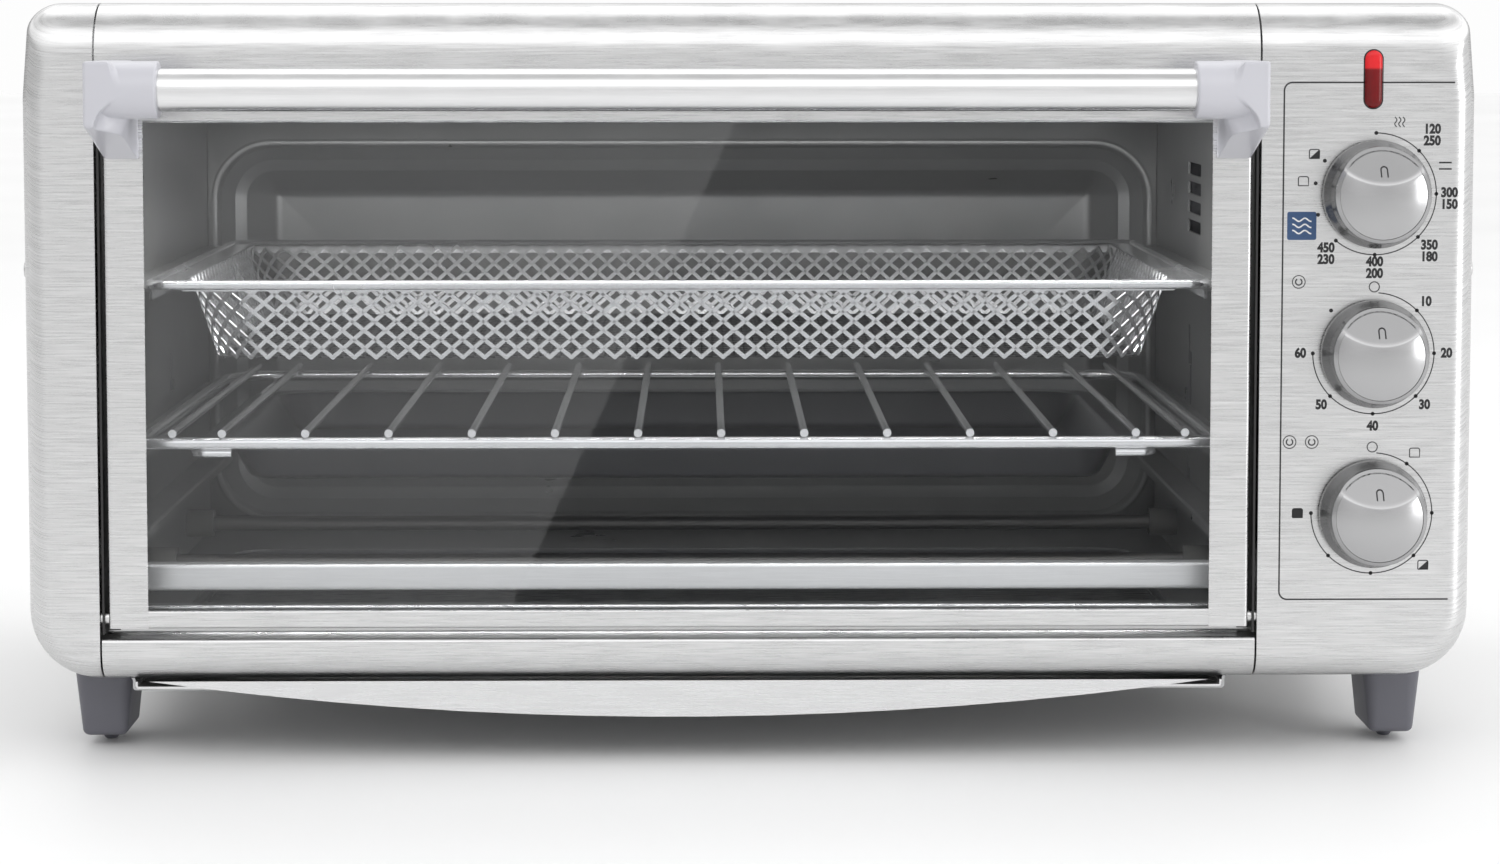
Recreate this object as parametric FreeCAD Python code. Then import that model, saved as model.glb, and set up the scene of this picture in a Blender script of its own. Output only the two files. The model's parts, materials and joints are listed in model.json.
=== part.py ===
"""Extra-wide countertop toaster oven. Millimetres, +X right, +Y back, +Z up.

The origin is under the middle of the oven, on the surface that it stands on.
"""

import FreeCAD, Part
import math
import os

V = FreeCAD.Vector

# Outer body
half_width = 273.0
front_y = -150.0
rear_y = 155.0
base_z = 31.3
top_z = 287.0
sheet = 1.0
top_roll = 19.0
bottom_roll = 10.7
side_roll = 9.0
lower_corner = 26.5
upper_corner = 11.5
shoulder_z = 252.0
side_lean = 2.7
seam_left = -245.1
seam_right = 191.3
seam_gap = 0.8
panel_left = seam_left + seam_gap / 2
panel_right = seam_right - seam_gap / 2
bulge_y = 197.5

# Front panels' folded edges
roof_front_y = -127.6
header_back_y = -128.2
shelf_z = 252.5
lip_back_y = -131.0
sill_back_y = -121.0
edge_bend = 1.6
small_bend = 1.2
jamb_thick = 0.8

# Vents in the side walls: front edge, lowest edge, height, slot width, count, pitch
vent_y = 60.0
vent_low_z = 90.0
vent_high_z = 170.0
vent_tall = 40.0
vent_wide = 3.0
vent_count = 8
vent_pitch = 8.0

# Rear cover: half width, lowest edge, highest edge, corner radius of the bulge's foot and crown
bulge_foot = (226.0, 42.0, 238.0, 30.0)
bulge_crown = (208.0, 58.0, 222.0, 24.0)
cover_gap = 0.2
cord_x = 232.0
cord_z = 66.0
cord_r = 4.0
gland_r = 8.0
gland_flange_r = 11.5

# Screws
screw_r = 1.9
screw_hole_r = 2.0
screw_head_r = 3.4
screw_length = 8.0

# Oven cavity, between its inner faces
cavity_left = -243.5
cavity_right = 189.7
cavity_mid = (cavity_left + cavity_right) / 2
cavity_floor_z = 47.6
cavity_top_z = 256.0
jamb_y = front_y + 12
wall_front_y = jamb_y + sheet
back_flange_y = 140.0
recess_y = 175.0
window_half = 196.0
window_y = (-112.0, 78.0)
window_corner = 12.0
mouth_low_z = 58.4
mouth_high_z = 241.9

# Drawn recess in the back wall: half width, lowest edge, highest edge, corner radius, depth
recess_mouth = (215.3, 50.4, 226.8, 27.0, back_flange_y - 0.1)
recess_middle = (203.0, 62.0, 214.0, 24.0, back_flange_y + 14.0)
recess_end = (190.0, 72.0, 203.0, 20.0, recess_y)

# Door, closed
door_left = -242.1
door_right = 188.3
door_low_z = 51.7
door_high_z = 251.5
trim_width = 15.0
glass_front_y = front_y + 0.8
glass_thick = 4.0
rail_top_z = 58.5
hinge_y = -146.0
hinge_z = 55.1
pin_r = 2.5
pin_neck_r = 1.5
spring_r = 2.9
running_gap = 0.05
glass_gap = 0.7
trim_back_width = 12.5
rail_thick = 0.8
rail_low_z = 243.4
rail_back_low_z = 245.0
hinge_block_y = hinge_y + 3.2

# Handle
bar_y = -187.0
bar_z = 255.3
bar_r = 7.75
boss_r = 10.5
bracket_inner = -215.0
blade_inner = -226.8
blade_outer = -241.0
bracket_foot_z = 228.2
bracket_nose_z = 240.5
handle_screw_z = 240.0
handle_screw_inset = 8.0
handle_screw_r = 2.0
handle_head_r = 3.6

# Racks and trays
guide_tops = (85.0, 116.4, 178.4)
guide_widths = (12.0, 12.0, 16.0)
guide_y = (-128.0, 130.0)
guide_lip = 4.0
guide_gap = 0.1
rack_y = (-125.0, 135.0)
rack_rail_r = 2.4
rack_wire_r = 1.6
rack_rail_z = guide_tops[1] + guide_gap + rack_rail_r
rack_wire_z = rack_rail_z + rack_rail_r + rack_wire_r
rack_inset = 9.9
wire_pitch = 31.8
wire_count = 12
outer_wire_offset = 193.8
wire_overhang = 2.5
rack_corner = 22.0
hanger_r = 1.5
hanger_reach = 14.5
pan_mid = -29.0
pan_half = 186.5
pan_y = (-120.0, 88.0)
pan_flange = 12.5
pan_floor_z = 101.6
pan_sheet = 0.9
pan_floor_inset = (23.0, 21.0)
pan_corner = 30.0
pan_mouth_corner = 22.0
pan_floor_corner = 16.0
basket_half = 203.5
basket_y = (-135.0, 116.0)
basket_rim_r = 1.8
basket_rim_z = guide_tops[2] + guide_gap + basket_rim_r
basket_flange = 11.0
basket_floor_z = 150.0
basket_floor_half = 181.0
basket_floor_inset = 26.0
basket_sheet = 1.2
basket_corner = 24.0
basket_inner_corner = 22.0
tray_low_z = 28.0
tray_high_z = base_z - 0.6
tray_sheet = 0.8
tray_gap = 1.8
tray_y = (front_y + 4, 112.0)
channel_z = 26.5
channel_half = 207.8
channel_front_y = -141.0
base_front_y = -120.8
backstop_y = 119.0
lip_half = 200.8
lip_low_z = 17.0
lip_top_z = base_z - 0.4

# Heating elements and fan
element_r = 3.2
element_rows = ((-45.0, 61.0), (65.0, 61.0), (-55.0, 247.0), (60.0, 247.0))
element_hole_gap = 0.8
insulator_depth = 12.0
insulator_r = 6.0
insulator_stub = 7.0
terminal_length = 10.0
terminal_half = 3.1
guard_y = (-130.0, -123.0)
guard_z = (62.7, 73.0)
fan_y = 16.5
fan_z = 205.0
fan_r = 31.0
hub_r = 6.5
blade_count = 12
blade_lean = 35
fan_x = (196.0, 206.0)
fan_shaft_r = 2.0
motor_r = 24.0
motor_x = (215.0, 243.0)
shield_x = 212.0
bulb_r = 2.0
bulb_y = (-40.0, 30.0)
bulb_z = 246.0

# Controls
knob_x = 234.6
knob_heights = {"selector": 215.5, "timer": 155.4, "toast": 94.8}
knob_r = 20.3
cap_r = 16.0
knob_tall = 18.8
knob_gap = 1.2
crown_r = 45.0
facet_angle = 24
facet_rise = 4.5
shaft_r = 3.0
bush_r = 4.4
bracket_gap = 1.2
case_sizes = {
    "selector": (18.5, 26.0, "mode_switch"),
    "timer": (20.0, 36.0, "bake_timer"),
    "toast": (18.0, 32.0, "toast_timer"),
}
bell_y = -102.5
lens_x = 233.3
lens_z = 258.5
lens_width = 6.5
lens_height = 21.6

# Feet
foot_x = (239.0, 258.0)
front_foot_y = (-120.0, -80.0)
rear_foot_y = (92.0, 132.0)
foot_low_z = 4.0
foot_high_z = 37.0
foot_outer_taper = 3.4
foot_inner_taper = -0.8
pad_low_r = 4.6
pad_high_r = 6.5
foot_screw_z = 20.0
foot_head_z = 33.4
foot_head_r = 4.0

PLANES = {
    "XY": (lambda u, v, w: V(u, v, w), V(0, 0, 1)),
    "XZ": (lambda u, v, w: V(u, w, v), V(0, 1, 0)),
    "YZ": (lambda u, v, w: V(w, u, v), V(1, 0, 0)),
}


def box(x0, x1, y0, y1, z0, z1):
    return Part.makeBox(x1 - x0, y1 - y0, z1 - z0, V(x0, y0, z0))


def rod(start, axis, radius, length):
    return Part.makeCylinder(radius, length, V(*start), V(*axis))


def joined(shapes):
    shapes = list(shapes)
    return shapes[0].fuse(shapes[1:]).removeSplitter() if shapes[1:] else shapes[0]


def without(shape, tools):
    return shape.cut(list(tools))


def mirrored(shape, x):
    return shape.mirror(V(x, 0, 0), V(1, 0, 0))


def ring(corners, place):
    """Closed wire through flat corners (u, v, radius), each corner rounded by a tangent arc."""
    stretches = []
    count = len(corners)
    for i, (u, v, radius) in enumerate(corners):
        here = V(u, v, 0)
        before = (V(*corners[i - 1][:2], 0) - here).normalize()
        after = (V(*corners[(i + 1) % count][:2], 0) - here).normalize()
        half = before.getAngle(after) / 2
        if radius < 1e-6:
            stretches.append((here, None, here))
            continue
        reach = radius / math.tan(half)
        inward = (before + after).normalize()
        crown = here + inward * (radius / math.sin(half) - radius)
        stretches.append((here + before * reach, crown, here + after * reach))
    edges = []
    for i, (start, crown, end) in enumerate(stretches):
        a, b = (place(p.x, p.y) for p in (start, end))
        if crown is not None:
            edges.append(Part.Arc(a, place(crown.x, crown.y), b).toShape())
        following = stretches[(i + 1) % count][0]
        c = place(following.x, following.y)
        if b.distanceToPoint(c) > 1e-6:
            edges.append(Part.LineSegment(b, c).toShape())
    return Part.Wire(edges)


def prism(corners, plane, w0, w1):
    point, normal = PLANES[plane]
    face = Part.Face(ring(corners, lambda u, v: point(u, v, w0)))
    return face.extrude(normal * (w1 - w0))


def rect(u0, u1, v0, v1, radius=0.0):
    return [(u0, v0, radius), (u1, v0, radius), (u1, v1, radius), (u0, v1, radius)]


def loft(sections, plane):
    """Straight-sided solid through (corners, w) sections."""
    point = PLANES[plane][0]
    wires = [ring(corners, lambda u, v, w=w: point(u, v, w)) for corners, w in sections]
    return Part.makeLoft(wires, True, True)


def folded(path, thick, plane, w0, w1):
    """Sheet bent along a path (u, v, radius), with its metal on the left of the path."""
    offset = []
    steps = [V(b[0] - a[0], b[1] - a[1], 0).normalize() for a, b in zip(path, path[1:])]
    lefts = [V(-s.y, s.x, 0) for s in steps]
    for i, (u, v, radius) in enumerate(path):
        a = lefts[max(i - 1, 0)]
        b = lefts[min(i, len(lefts) - 1)]
        shift = (a + b) * (thick / (1 + a.dot(b)))
        turn = steps[max(i - 1, 0)].cross(steps[min(i, len(steps) - 1)]).z
        inner = radius - thick if turn > 0 else radius + thick
        offset.append((u + shift.x, v + shift.y, max(inner, 0.0) if radius else 0.0))
    return prism(list(path) + offset[::-1], plane, w0, w1)


def turned(profile, base, axis):
    """Solid of revolution of (radius, height, corner) points, standing on base along axis."""
    face = Part.Face(ring(profile, lambda u, v: V(u, 0, v)))
    solid = face.revolve(V(0, 0, 0), V(0, 0, 1), 360)
    solid.Placement = FreeCAD.Placement(V(*base), FreeCAD.Rotation(V(0, 0, 1), V(*axis)))
    return solid


def wire_rod(points, radius, bend=0.0, closed=False):
    """Round wire along straight runs joined by arcs of one bend radius."""
    points = [V(*p) for p in points]
    count = len(points)
    runs = []
    for i, here in enumerate(points):
        if not closed and i in (0, count - 1):
            runs.append((here, None, here))
            continue
        before = (points[i - 1] - here).normalize()
        after = (points[(i + 1) % count] - here).normalize()
        half = before.getAngle(after) / 2
        reach = bend / math.tan(half)
        crown = here + (before + after).normalize() * (bend / math.sin(half) - bend)
        runs.append((here + before * reach, crown, here + after * reach))
    edges = []
    for i, (start, crown, end) in enumerate(runs):
        if crown is not None:
            edges.append(Part.Arc(start, crown, end).toShape())
        if i < count - 1 or closed:
            edges.append(Part.LineSegment(end, runs[(i + 1) % count][0]).toShape())
    path = Part.Wire(edges)
    first = edges[-1] if closed else edges[0]
    heading = first.tangentAt(first.LastParameter if closed else first.FirstParameter)
    origin = runs[0][0] if closed else points[0]
    section = Part.Wire(Part.Circle(origin, heading, radius).toShape())
    return path.makePipeShell([section], True, False)


def save(node, *shapes):
    solids = [s for shape in shapes for s in shape.Solids]
    whole = solids[0] if len(solids) == 1 else Part.makeCompound(solids)
    if not all(s.isValid() and s.Volume > 0 for s in solids):
        print("not valid:", node)
    whole.exportStep(f"parts/{node}.step")
    print(f"{node}: {len(solids)} solids, {whole.Volume / 1000:.1f} cm3")


# ---- Outer body ----


def body_block(inset):
    """The closed outer shape, made smaller by inset on every side."""
    side = half_width - inset
    low, high = base_z + inset, top_z - inset
    near, far = front_y + inset, rear_y - inset
    upper = side - side_lean
    outline = [(-side, low, lower_corner - inset), (side, low, lower_corner - inset)]
    outline += [(side, shoulder_z, 0), (upper, high, upper_corner - inset)]
    outline += [(-upper, high, upper_corner - inset), (-side, shoulder_z, 0)]
    across = prism(outline, "XZ", near, far)
    profile = [(near, low, bottom_roll - inset), (far, low, 0)]
    profile += [(far, high, 0), (near, high, top_roll - inset)]
    along = prism(profile, "YZ", -side, side)
    roll = side_roll - inset
    plan = [(-side, near, roll), (side, near, roll), (side, far, 0), (-side, far, 0)]
    return across.common(along).common(prism(plan, "XY", low, high))


def shell_part(shell, x0, x1, y0=front_y - 1, y1=rear_y - sheet, z0=0.0, z1=top_z + 1):
    return shell.common(box(x0, x1, y0, y1, z0, z1))


def slots(x0, x1, y0, y1, z0, z1, axis, count, pitch):
    """A row of equal slots, each one pitch further along axis."""
    step = V(*axis) * pitch
    return [box(x0, x1, y0, y1, z0, z1).translated(step * i) for i in range(count)]


def side_screw_places(side):
    """Heads on an end panel's side wall: one near the front, two near the back."""
    return [(side * half_width, y, z) for y, z in ((-136.0, 186.5), (140.0, 225.0), (140.0, 70.0))]


def end_panels(shell):
    screw_holes = [
        rod((x - math.copysign(4, x), y, z), (math.copysign(1, x), 0, 0), screw_hole_r, 8)
        for side in (-1, 1)
        for x, y, z in side_screw_places(side)
    ]
    screw_holes += [
        rod(((x0 + x1) / 2, (y0 + y1) / 2, foot_screw_z), (0, 0, 1), screw_hole_r, 20)
        for side, x0, x1, y0, y1 in foot_corners()
    ]
    left = shell_part(shell, -half_width - 1, seam_left - seam_gap / 2)
    save("left_end_panel", without(left, side_vents(-half_width, vent_low_z) + screw_holes))
    right = shell_part(shell, seam_right + seam_gap / 2, half_width + 1)
    holes = [
        rod((knob_x, front_y - 2, z), (0, 1, 0), shaft_r + 1.5, 5)
        for z in knob_heights.values()
    ]
    holes.append(prism(lens_outline(0.15), "XZ", front_y - 2, front_y + 3))
    holes += side_vents(half_width, vent_low_z) + side_vents(half_width, vent_high_z)
    save("right_end_panel", without(right, holes + screw_holes))


def side_vents(x, z):
    return slots(x - 2, x + 2, vent_y, vent_y + vent_wide, z, z + vent_tall, (0, 1, 0),
                 vent_count, vent_pitch)


def top_cover(shell):
    plate = shell_part(shell, panel_left, panel_right, y0=roof_front_y, z0=top_z - 10)
    save("top_cover", plate)


def lip_ends(z0, z1):
    """Room in a folded lip's ends for the cavity's side walls."""
    left = box(seam_left, cavity_left, wall_front_y, lip_back_y + 1, z0, z1)
    return [left, mirrored(left, cavity_mid)]


def front_header():
    path = [(header_back_y, top_z, 0), (front_y, top_z, top_roll), (front_y, shelf_z, edge_bend)]
    path += [(jamb_y, shelf_z, edge_bend), (jamb_y, mouth_high_z, edge_bend)]
    path += [(lip_back_y, mouth_high_z, 0)]
    header = folded(path, sheet, "YZ", panel_left, panel_right)
    save("front_header", without(header, lip_ends(mouth_high_z - 5, cavity_top_z)))


def front_sill():
    path = [(lip_back_y, mouth_low_z, 0), (jamb_y, mouth_low_z, edge_bend)]
    path += [(jamb_y, cavity_floor_z, edge_bend), (front_y, cavity_floor_z, edge_bend)]
    path += [(front_y, base_z, bottom_roll), (sill_back_y, base_z, 0)]
    sill = folded(path, sheet, "YZ", panel_left, panel_right)
    save("front_sill", without(sill, lip_ends(cavity_floor_z - sheet, mouth_low_z + 5)))


def door_jambs():
    """Side returns between the front face and the cavity, with the hinge pins' holes."""
    edge = cavity_left - sheet
    path = [(edge + 5, jamb_y, 0), (edge, jamb_y, small_bend), (edge, front_y + 0.6, 0)]
    low, high = cavity_floor_z + edge_bend + 0.1, shelf_z - edge_bend - 0.1
    left = folded(path, jamb_thick, "XY", low, high)
    left = left.cut(rod((edge - 5, hinge_y, hinge_z), (1, 0, 0), pin_r, 12))
    save("door_jambs", left, mirrored(left, cavity_mid))


def base_plate():
    """Bottom sheet with the sunken channel that the crumb tray slides in."""
    x0, x1 = cavity_mid - channel_half, cavity_mid + channel_half
    path = [(panel_left, base_z, 0), (x0, base_z, small_bend), (x0, channel_z, small_bend)]
    path += [(x1, channel_z, small_bend), (x1, base_z, small_bend), (panel_right, base_z, 0)]
    plate = folded(path, sheet, "XZ", base_front_y, rear_y - sheet)
    nose = folded(path, sheet, "XZ", channel_front_y, base_front_y)
    nose = nose.common(box(x0 - 2, x1 + 2, front_y, 0, 0, base_z - 0.1))
    backstop = box(x0, x1, backstop_y, backstop_y + sheet, channel_z, base_z + sheet)
    vent_x = panel_left + 5.0
    vents = slots(vent_x, vent_x + vent_wide, -60, -20, base_z - 1, base_z + 3, (0, 1, 0), 3, 60.0)
    save("base_plate", without(joined([plate, nose, backstop]), vents))


def cover_outline():
    side = half_width - cover_gap
    upper = side - side_lean
    high = top_z - cover_gap
    outline = [(-side, base_z, lower_corner), (side, base_z, lower_corner)]
    outline += [(side, shoulder_z, 0), (upper, high, upper_corner)]
    return outline + [(-upper, high, upper_corner), (-side, shoulder_z, 0)]


def about_cavity(contour, inset=0.0):
    """Rounded rectangle (half width, lowest, highest, corner radius) on the cavity's middle."""
    half, low, high, corner = contour[:4]
    return rect(cavity_mid - half + inset, cavity_mid + half - inset, low + inset, high - inset,
                corner - inset)


def rear_cover():
    """Flat back with a bulge welded on behind the cavity's recess, vents and the cord's hole."""
    inner_y = rear_y - sheet
    plate = prism(cover_outline(), "XZ", inner_y, rear_y)
    bulge = loft([(about_cavity(bulge_foot), inner_y), (about_cavity(bulge_crown), bulge_y)], "XZ")
    hollow = loft([(about_cavity(bulge_foot, sheet), inner_y - 0.1),
                   (about_cavity(bulge_crown, sheet), bulge_y - sheet)], "XZ")
    vents = slots(205, 209, 150, 160, 190, 250, (1, 0, 0), 7, 8.0)
    for low in (184, 196):
        vents += slots(-220, -190, 190, 205, low, low + 4, (1, 0, 0), 5, 46.0)
    vents += slots(90, 120, 190, 205, 80, 84, (0, 0, 1), 6, 12.0)
    gland = rod((cord_x, rear_y - 5, cord_z), (0, 1, 0), gland_r, 10)
    screws = [rod((x, rear_y - 5, z), (0, 1, 0), screw_hole_r, 10) for x, z in cover_screw_places()]
    cover = without(joined([plate, bulge]), [hollow, gland] + vents + screws)
    save("rear_cover", *[cover.common(region) for region in welded_panels()])


def welded_panels():
    """Regions of the rear cover's separate sheets: back plate, bulge's crown and its four walls."""
    left = cavity_mid - bulge_crown[0] + bulge_crown[3]
    right = cavity_mid + bulge_crown[0] - bulge_crown[3]
    middle_z = (bulge_foot[1] + bulge_foot[2]) / 2
    crown_y = bulge_y - sheet
    far_x = half_width + 1
    return [
        box(-far_x, far_x, rear_y - 2 * sheet, rear_y, 0, top_z),
        box(-far_x, far_x, crown_y, bulge_y + 1, 0, top_z),
        box(-far_x, left, rear_y, crown_y, 0, top_z),
        box(right, far_x, rear_y, crown_y, 0, top_z),
        box(left, right, rear_y, crown_y, 0, middle_z),
        box(left, right, rear_y, crown_y, middle_z, top_z),
    ]


def cover_screw_places():
    high, low = 275.0, 44.0
    places = [(x, high) for x in (-255, -90, 60, 258)]
    return places + [(-264, 140.0), (264, 140.0), (-250, low), (252, low)]


# ---- Cavity ----


def side_wall(slot_boxes):
    low, high = cavity_floor_z - sheet, cavity_top_z + sheet
    wall = box(cavity_left - sheet, cavity_left, wall_front_y, back_flange_y, low, high)
    holes = [
        rod((cavity_left - 3, y, z), (1, 0, 0), element_r + element_hole_gap, 6)
        for y, z in element_rows
    ]
    return without(wall, holes + slot_boxes)


def cavity_walls():
    """Side walls with the element holes, the rack stops' slots and the fan's outlet."""
    x0, x1 = cavity_left - 2, cavity_left + 1
    left_slots = [box(x0, x1, 20, 25, 123, 140), box(x0, x1, 25, 33, 123, 128)]
    save("cavity_left_wall", side_wall(left_slots))
    stops = [box(x0, x1, 20, 25, 117, 140), box(x0, x1, 25, 30, 134, 151)]
    stops += [box(x0, x1, 22, 27, 69, 90), box(x0, x1, 27, 31, 82, 98)]
    outlets = slots(x0, x1, -3, 36, 190.8, 196.1, (0, 0, 1), 4, 8.1)
    save("cavity_right_wall", mirrored(side_wall(stops + outlets), cavity_mid))


def cavity_top():
    save("cavity_top", box(cavity_left, cavity_right, wall_front_y, back_flange_y,
                           cavity_top_z, cavity_top_z + sheet))


def cavity_floor():
    """Floor with a window over the crumb tray."""
    low = cavity_floor_z - sheet
    plate = box(cavity_left, cavity_right, wall_front_y, back_flange_y, low, cavity_floor_z)
    window = rect(cavity_mid - window_half, cavity_mid + window_half, *window_y, window_corner)
    save("cavity_floor", plate.cut(prism(window, "XY", low - 1, cavity_floor_z + 1)))


def cavity_back():
    """Rear wall with a drawn recess that lets a round pan reach further back."""
    plate = box(cavity_left, cavity_right, back_flange_y, back_flange_y + sheet,
                cavity_floor_z, cavity_top_z)
    steps = (recess_mouth, recess_middle, recess_end)
    inside = [(about_cavity(step), step[4]) for step in steps]
    outside = [(about_cavity(step, -sheet), step[4] + sheet) for step in steps]
    save("cavity_back", joined([plate, loft(outside, "XZ")]).cut(loft(inside, "XZ")))


def rack_guides():
    left = []
    for top, wide in zip(guide_tops, guide_widths):
        edge = cavity_left + wide
        path = [(edge, top - guide_lip, 0), (edge, top, small_bend), (cavity_left, top, 0)]
        left.append(folded(path, sheet, "XZ", *guide_y))
    save("rack_guides", *left, *[mirrored(guide, cavity_mid) for guide in left])


def element_guard():
    near, far = guard_y
    low, high = guard_z
    path = [(far, high, 0), (near, high, edge_bend), (near, low, edge_bend), (far, low, 0)]
    save("element_guard", folded(path, sheet, "YZ", cavity_left, cavity_right))


def heating_elements():
    start = cavity_left + insulator_depth
    length = cavity_right - cavity_left - 2 * insulator_depth
    tubes = [rod((start, y, z), (1, 0, 0), element_r, length) for y, z in element_rows]
    save("heating_elements", *tubes)
    outer = cavity_left - insulator_stub
    stub_r = element_r + element_hole_gap - 0.2
    insulators = []
    tabs = []
    for y, z in element_rows:
        collar = rod((cavity_left, y, z), (1, 0, 0), insulator_r, insulator_depth)
        stub = rod((outer, y, z), (1, 0, 0), stub_r, insulator_stub)
        insulators.append(joined([collar, stub]))
        tabs.append(box(outer - terminal_length, outer, y - terminal_half, y + terminal_half,
                        z - 0.4, z + 0.4))
    save("element_insulators", *insulators, *[mirrored(s, cavity_mid) for s in insulators])
    save("element_terminals", *tabs, *[mirrored(s, cavity_mid) for s in tabs])


# ---- Fan and controls ----


def fan():
    """Impeller behind the right wall's outlet, turned by a motor beyond the heat shield."""
    axis = (1, 0, 0)
    shield = box(shield_x, shield_x + sheet, -105, 135, 45, 252)
    save("heat_shield", shield.cut(rod((shield_x - 2, fan_y, fan_z), axis, 3 * fan_shaft_r, 5)))
    x0, x1 = fan_x
    hub = rod((x0 + 1, fan_y, fan_z), axis, hub_r, x1 - x0 - 1)
    disc = rod((x1 - sheet, fan_y, fan_z), axis, fan_r, sheet)
    blade = box(x0, x1 - sheet, fan_y + 12, fan_y + fan_r - 1, fan_z - 0.5, fan_z + 0.5)
    blade = blade.rotated(V(0, fan_y + 14, fan_z), V(*axis), blade_lean)
    blades = [
        blade.rotated(V(0, fan_y, fan_z), V(*axis), 360 / blade_count * i)
        for i in range(blade_count)
    ]
    wheel = joined([hub, disc] + blades).cut(rod((x0 - 6, fan_y, fan_z), axis, fan_shaft_r, 30))
    save("fan_impeller", wheel)
    save("fan_shaft", rod((x0 + 1.5, fan_y, fan_z), axis, fan_shaft_r, 27))
    can = rod((motor_x[0], fan_y, fan_z), axis, motor_r, motor_x[1] - motor_x[0])
    ears = rect(fan_y - fan_r, fan_y + fan_r, fan_z - 15, fan_z + 15, 5)
    flange = prism(ears, "YZ", shield_x + sheet, motor_x[0] + 0.5)
    bore = rod((shield_x, fan_y, fan_z), axis, fan_shaft_r + running_gap, 13)
    save("fan_motor", joined([can, flange]).cut(bore))


def controls():
    """Clockwork and switch bodies behind the panel, each with its knob and shaft."""
    plate_y = front_y + bracket_gap
    case_y = plate_y + bracket_gap
    holes = [rod((knob_x, front_y - 2, z), (0, 1, 0), bush_r + 0.6, 8) for z in knob_heights.values()]
    plate = prism(rect(206, 263, 68, 240, 4), "XZ", plate_y, case_y)
    save("control_bracket", without(plate, holes))
    for name, (half, deep, node) in case_sizes.items():
        z = knob_heights[name]
        square = rect(knob_x - half, knob_x + half, z - half, z + half, 3)
        case = prism(square, "XZ", case_y, case_y + deep)
        bush = rod((knob_x, front_y - 0.6, z), (0, 1, 0), bush_r, 3.1)
        bore = rod((knob_x, front_y - 2, z), (0, 1, 0), shaft_r + running_gap, 14)
        save(node, joined([case, bush]).cut(bore))
        save(f"{name}_shaft", rod((knob_x, front_y - 15, z), (0, 1, 0), shaft_r, 26.5))
        save(f"{name}_knob", knob(z))


def knob(z):
    """Turned skirt and crowned cap, with a sloped thumb facet above the middle."""
    base = (knob_x, front_y - knob_gap, z)
    skirt = [(0, 0, 0), (knob_r, 0, 0.4), (knob_r - 0.3, 5.0, 1.6), (cap_r + 0.9, 8.0, 1.5)]
    skirt += [(cap_r + 0.2, 12.0, 0), (0, 12.0, 0)]
    cap = rod(base, (0, -1, 0), cap_r, knob_tall)
    crest_y = base[1] - knob_tall
    ball = Part.makeSphere(crown_r, V(knob_x, crest_y + crown_r, z))
    body = joined([turned(skirt, base, (0, -1, 0)), cap.common(ball)])
    chop = box(-30, 30, -12, 0, 0, 30).rotated(V(0, 0, 0), V(1, 0, 0), -facet_angle)
    chop = chop.translated(V(knob_x, crest_y + 0.35, z + facet_rise))
    return body.cut(chop).cut(rod(base, (0, -1, 0), shaft_r + running_gap, 13.8))


def timer_bell():
    cup = [(0, 0, 0), (4, 0, 0), (15, 2, 3), (15, 9, 0), (14, 9, 0), (14, 3, 2), (4, 1, 0), (0, 1, 0)]
    z = knob_heights["timer"]
    case_end = front_y + 2 * bracket_gap + case_sizes["timer"][1]
    post = rod((knob_x, case_end, z), (0, 1, 0), 2.0, bell_y - 1 - case_end)
    save("timer_bell", joined([turned(cup, (knob_x, bell_y, z), (0, -1, 0)), post]))


def lens_outline(grow):
    half, tall = lens_width / 2 + grow, lens_height / 2 + grow
    return rect(lens_x - half, lens_x + half, lens_z - tall, lens_z + tall, half - 0.01)


def indicator():
    save("indicator_lens", prism(lens_outline(0), "XZ", front_y - 1.4, front_y + 2))
    save("indicator_lamp", rod((lens_x, front_y + 2.2, lens_z), (0, 1, 0), 2.6, 18))


def electrics():
    block = box(222, 250, 112, 136, 84, 100)
    screws = [rod((x, 124, 94), (0, 0, 1), 2.2, 8) for x in (228, 236, 244)]
    save("terminal_block", without(block, screws))
    flange = rod((cord_x, rear_y, cord_z), (0, 1, 0), gland_flange_r, 3)
    sleeve = rod((cord_x, rear_y - 7, cord_z), (0, 1, 0), gland_r, 17)
    bore = rod((cord_x, rear_y - 15, cord_z), (0, 1, 0), cord_r, 40)
    save("cord_gland", joined([flange, sleeve]).cut(bore))
    save("thermal_fuse", rod((cavity_right + sheet, 80, 150), (1, 0, 0), 8.0, 7))
    start, end = bulb_y
    bulb = rod((cavity_right - 5, start, bulb_z), (0, 1, 0), bulb_r, end - start)
    clips = [
        box(cavity_right - 7.5, cavity_right, y, y + 6, bulb_z - 2.5, bulb_z + 2.5)
        for y in (start + 6, end - 12)
    ]
    save("thermostat_bulb", bulb, *[without(clip, [bulb]) for clip in clips])


# ---- Feet and fasteners ----


def foot_corners():
    for y0, y1 in (front_foot_y, rear_foot_y):
        for side in (-1, 1):
            x0, x1 = sorted((side * foot_x[0], side * foot_x[1]))
            yield side, x0, x1, y0, y1


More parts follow.
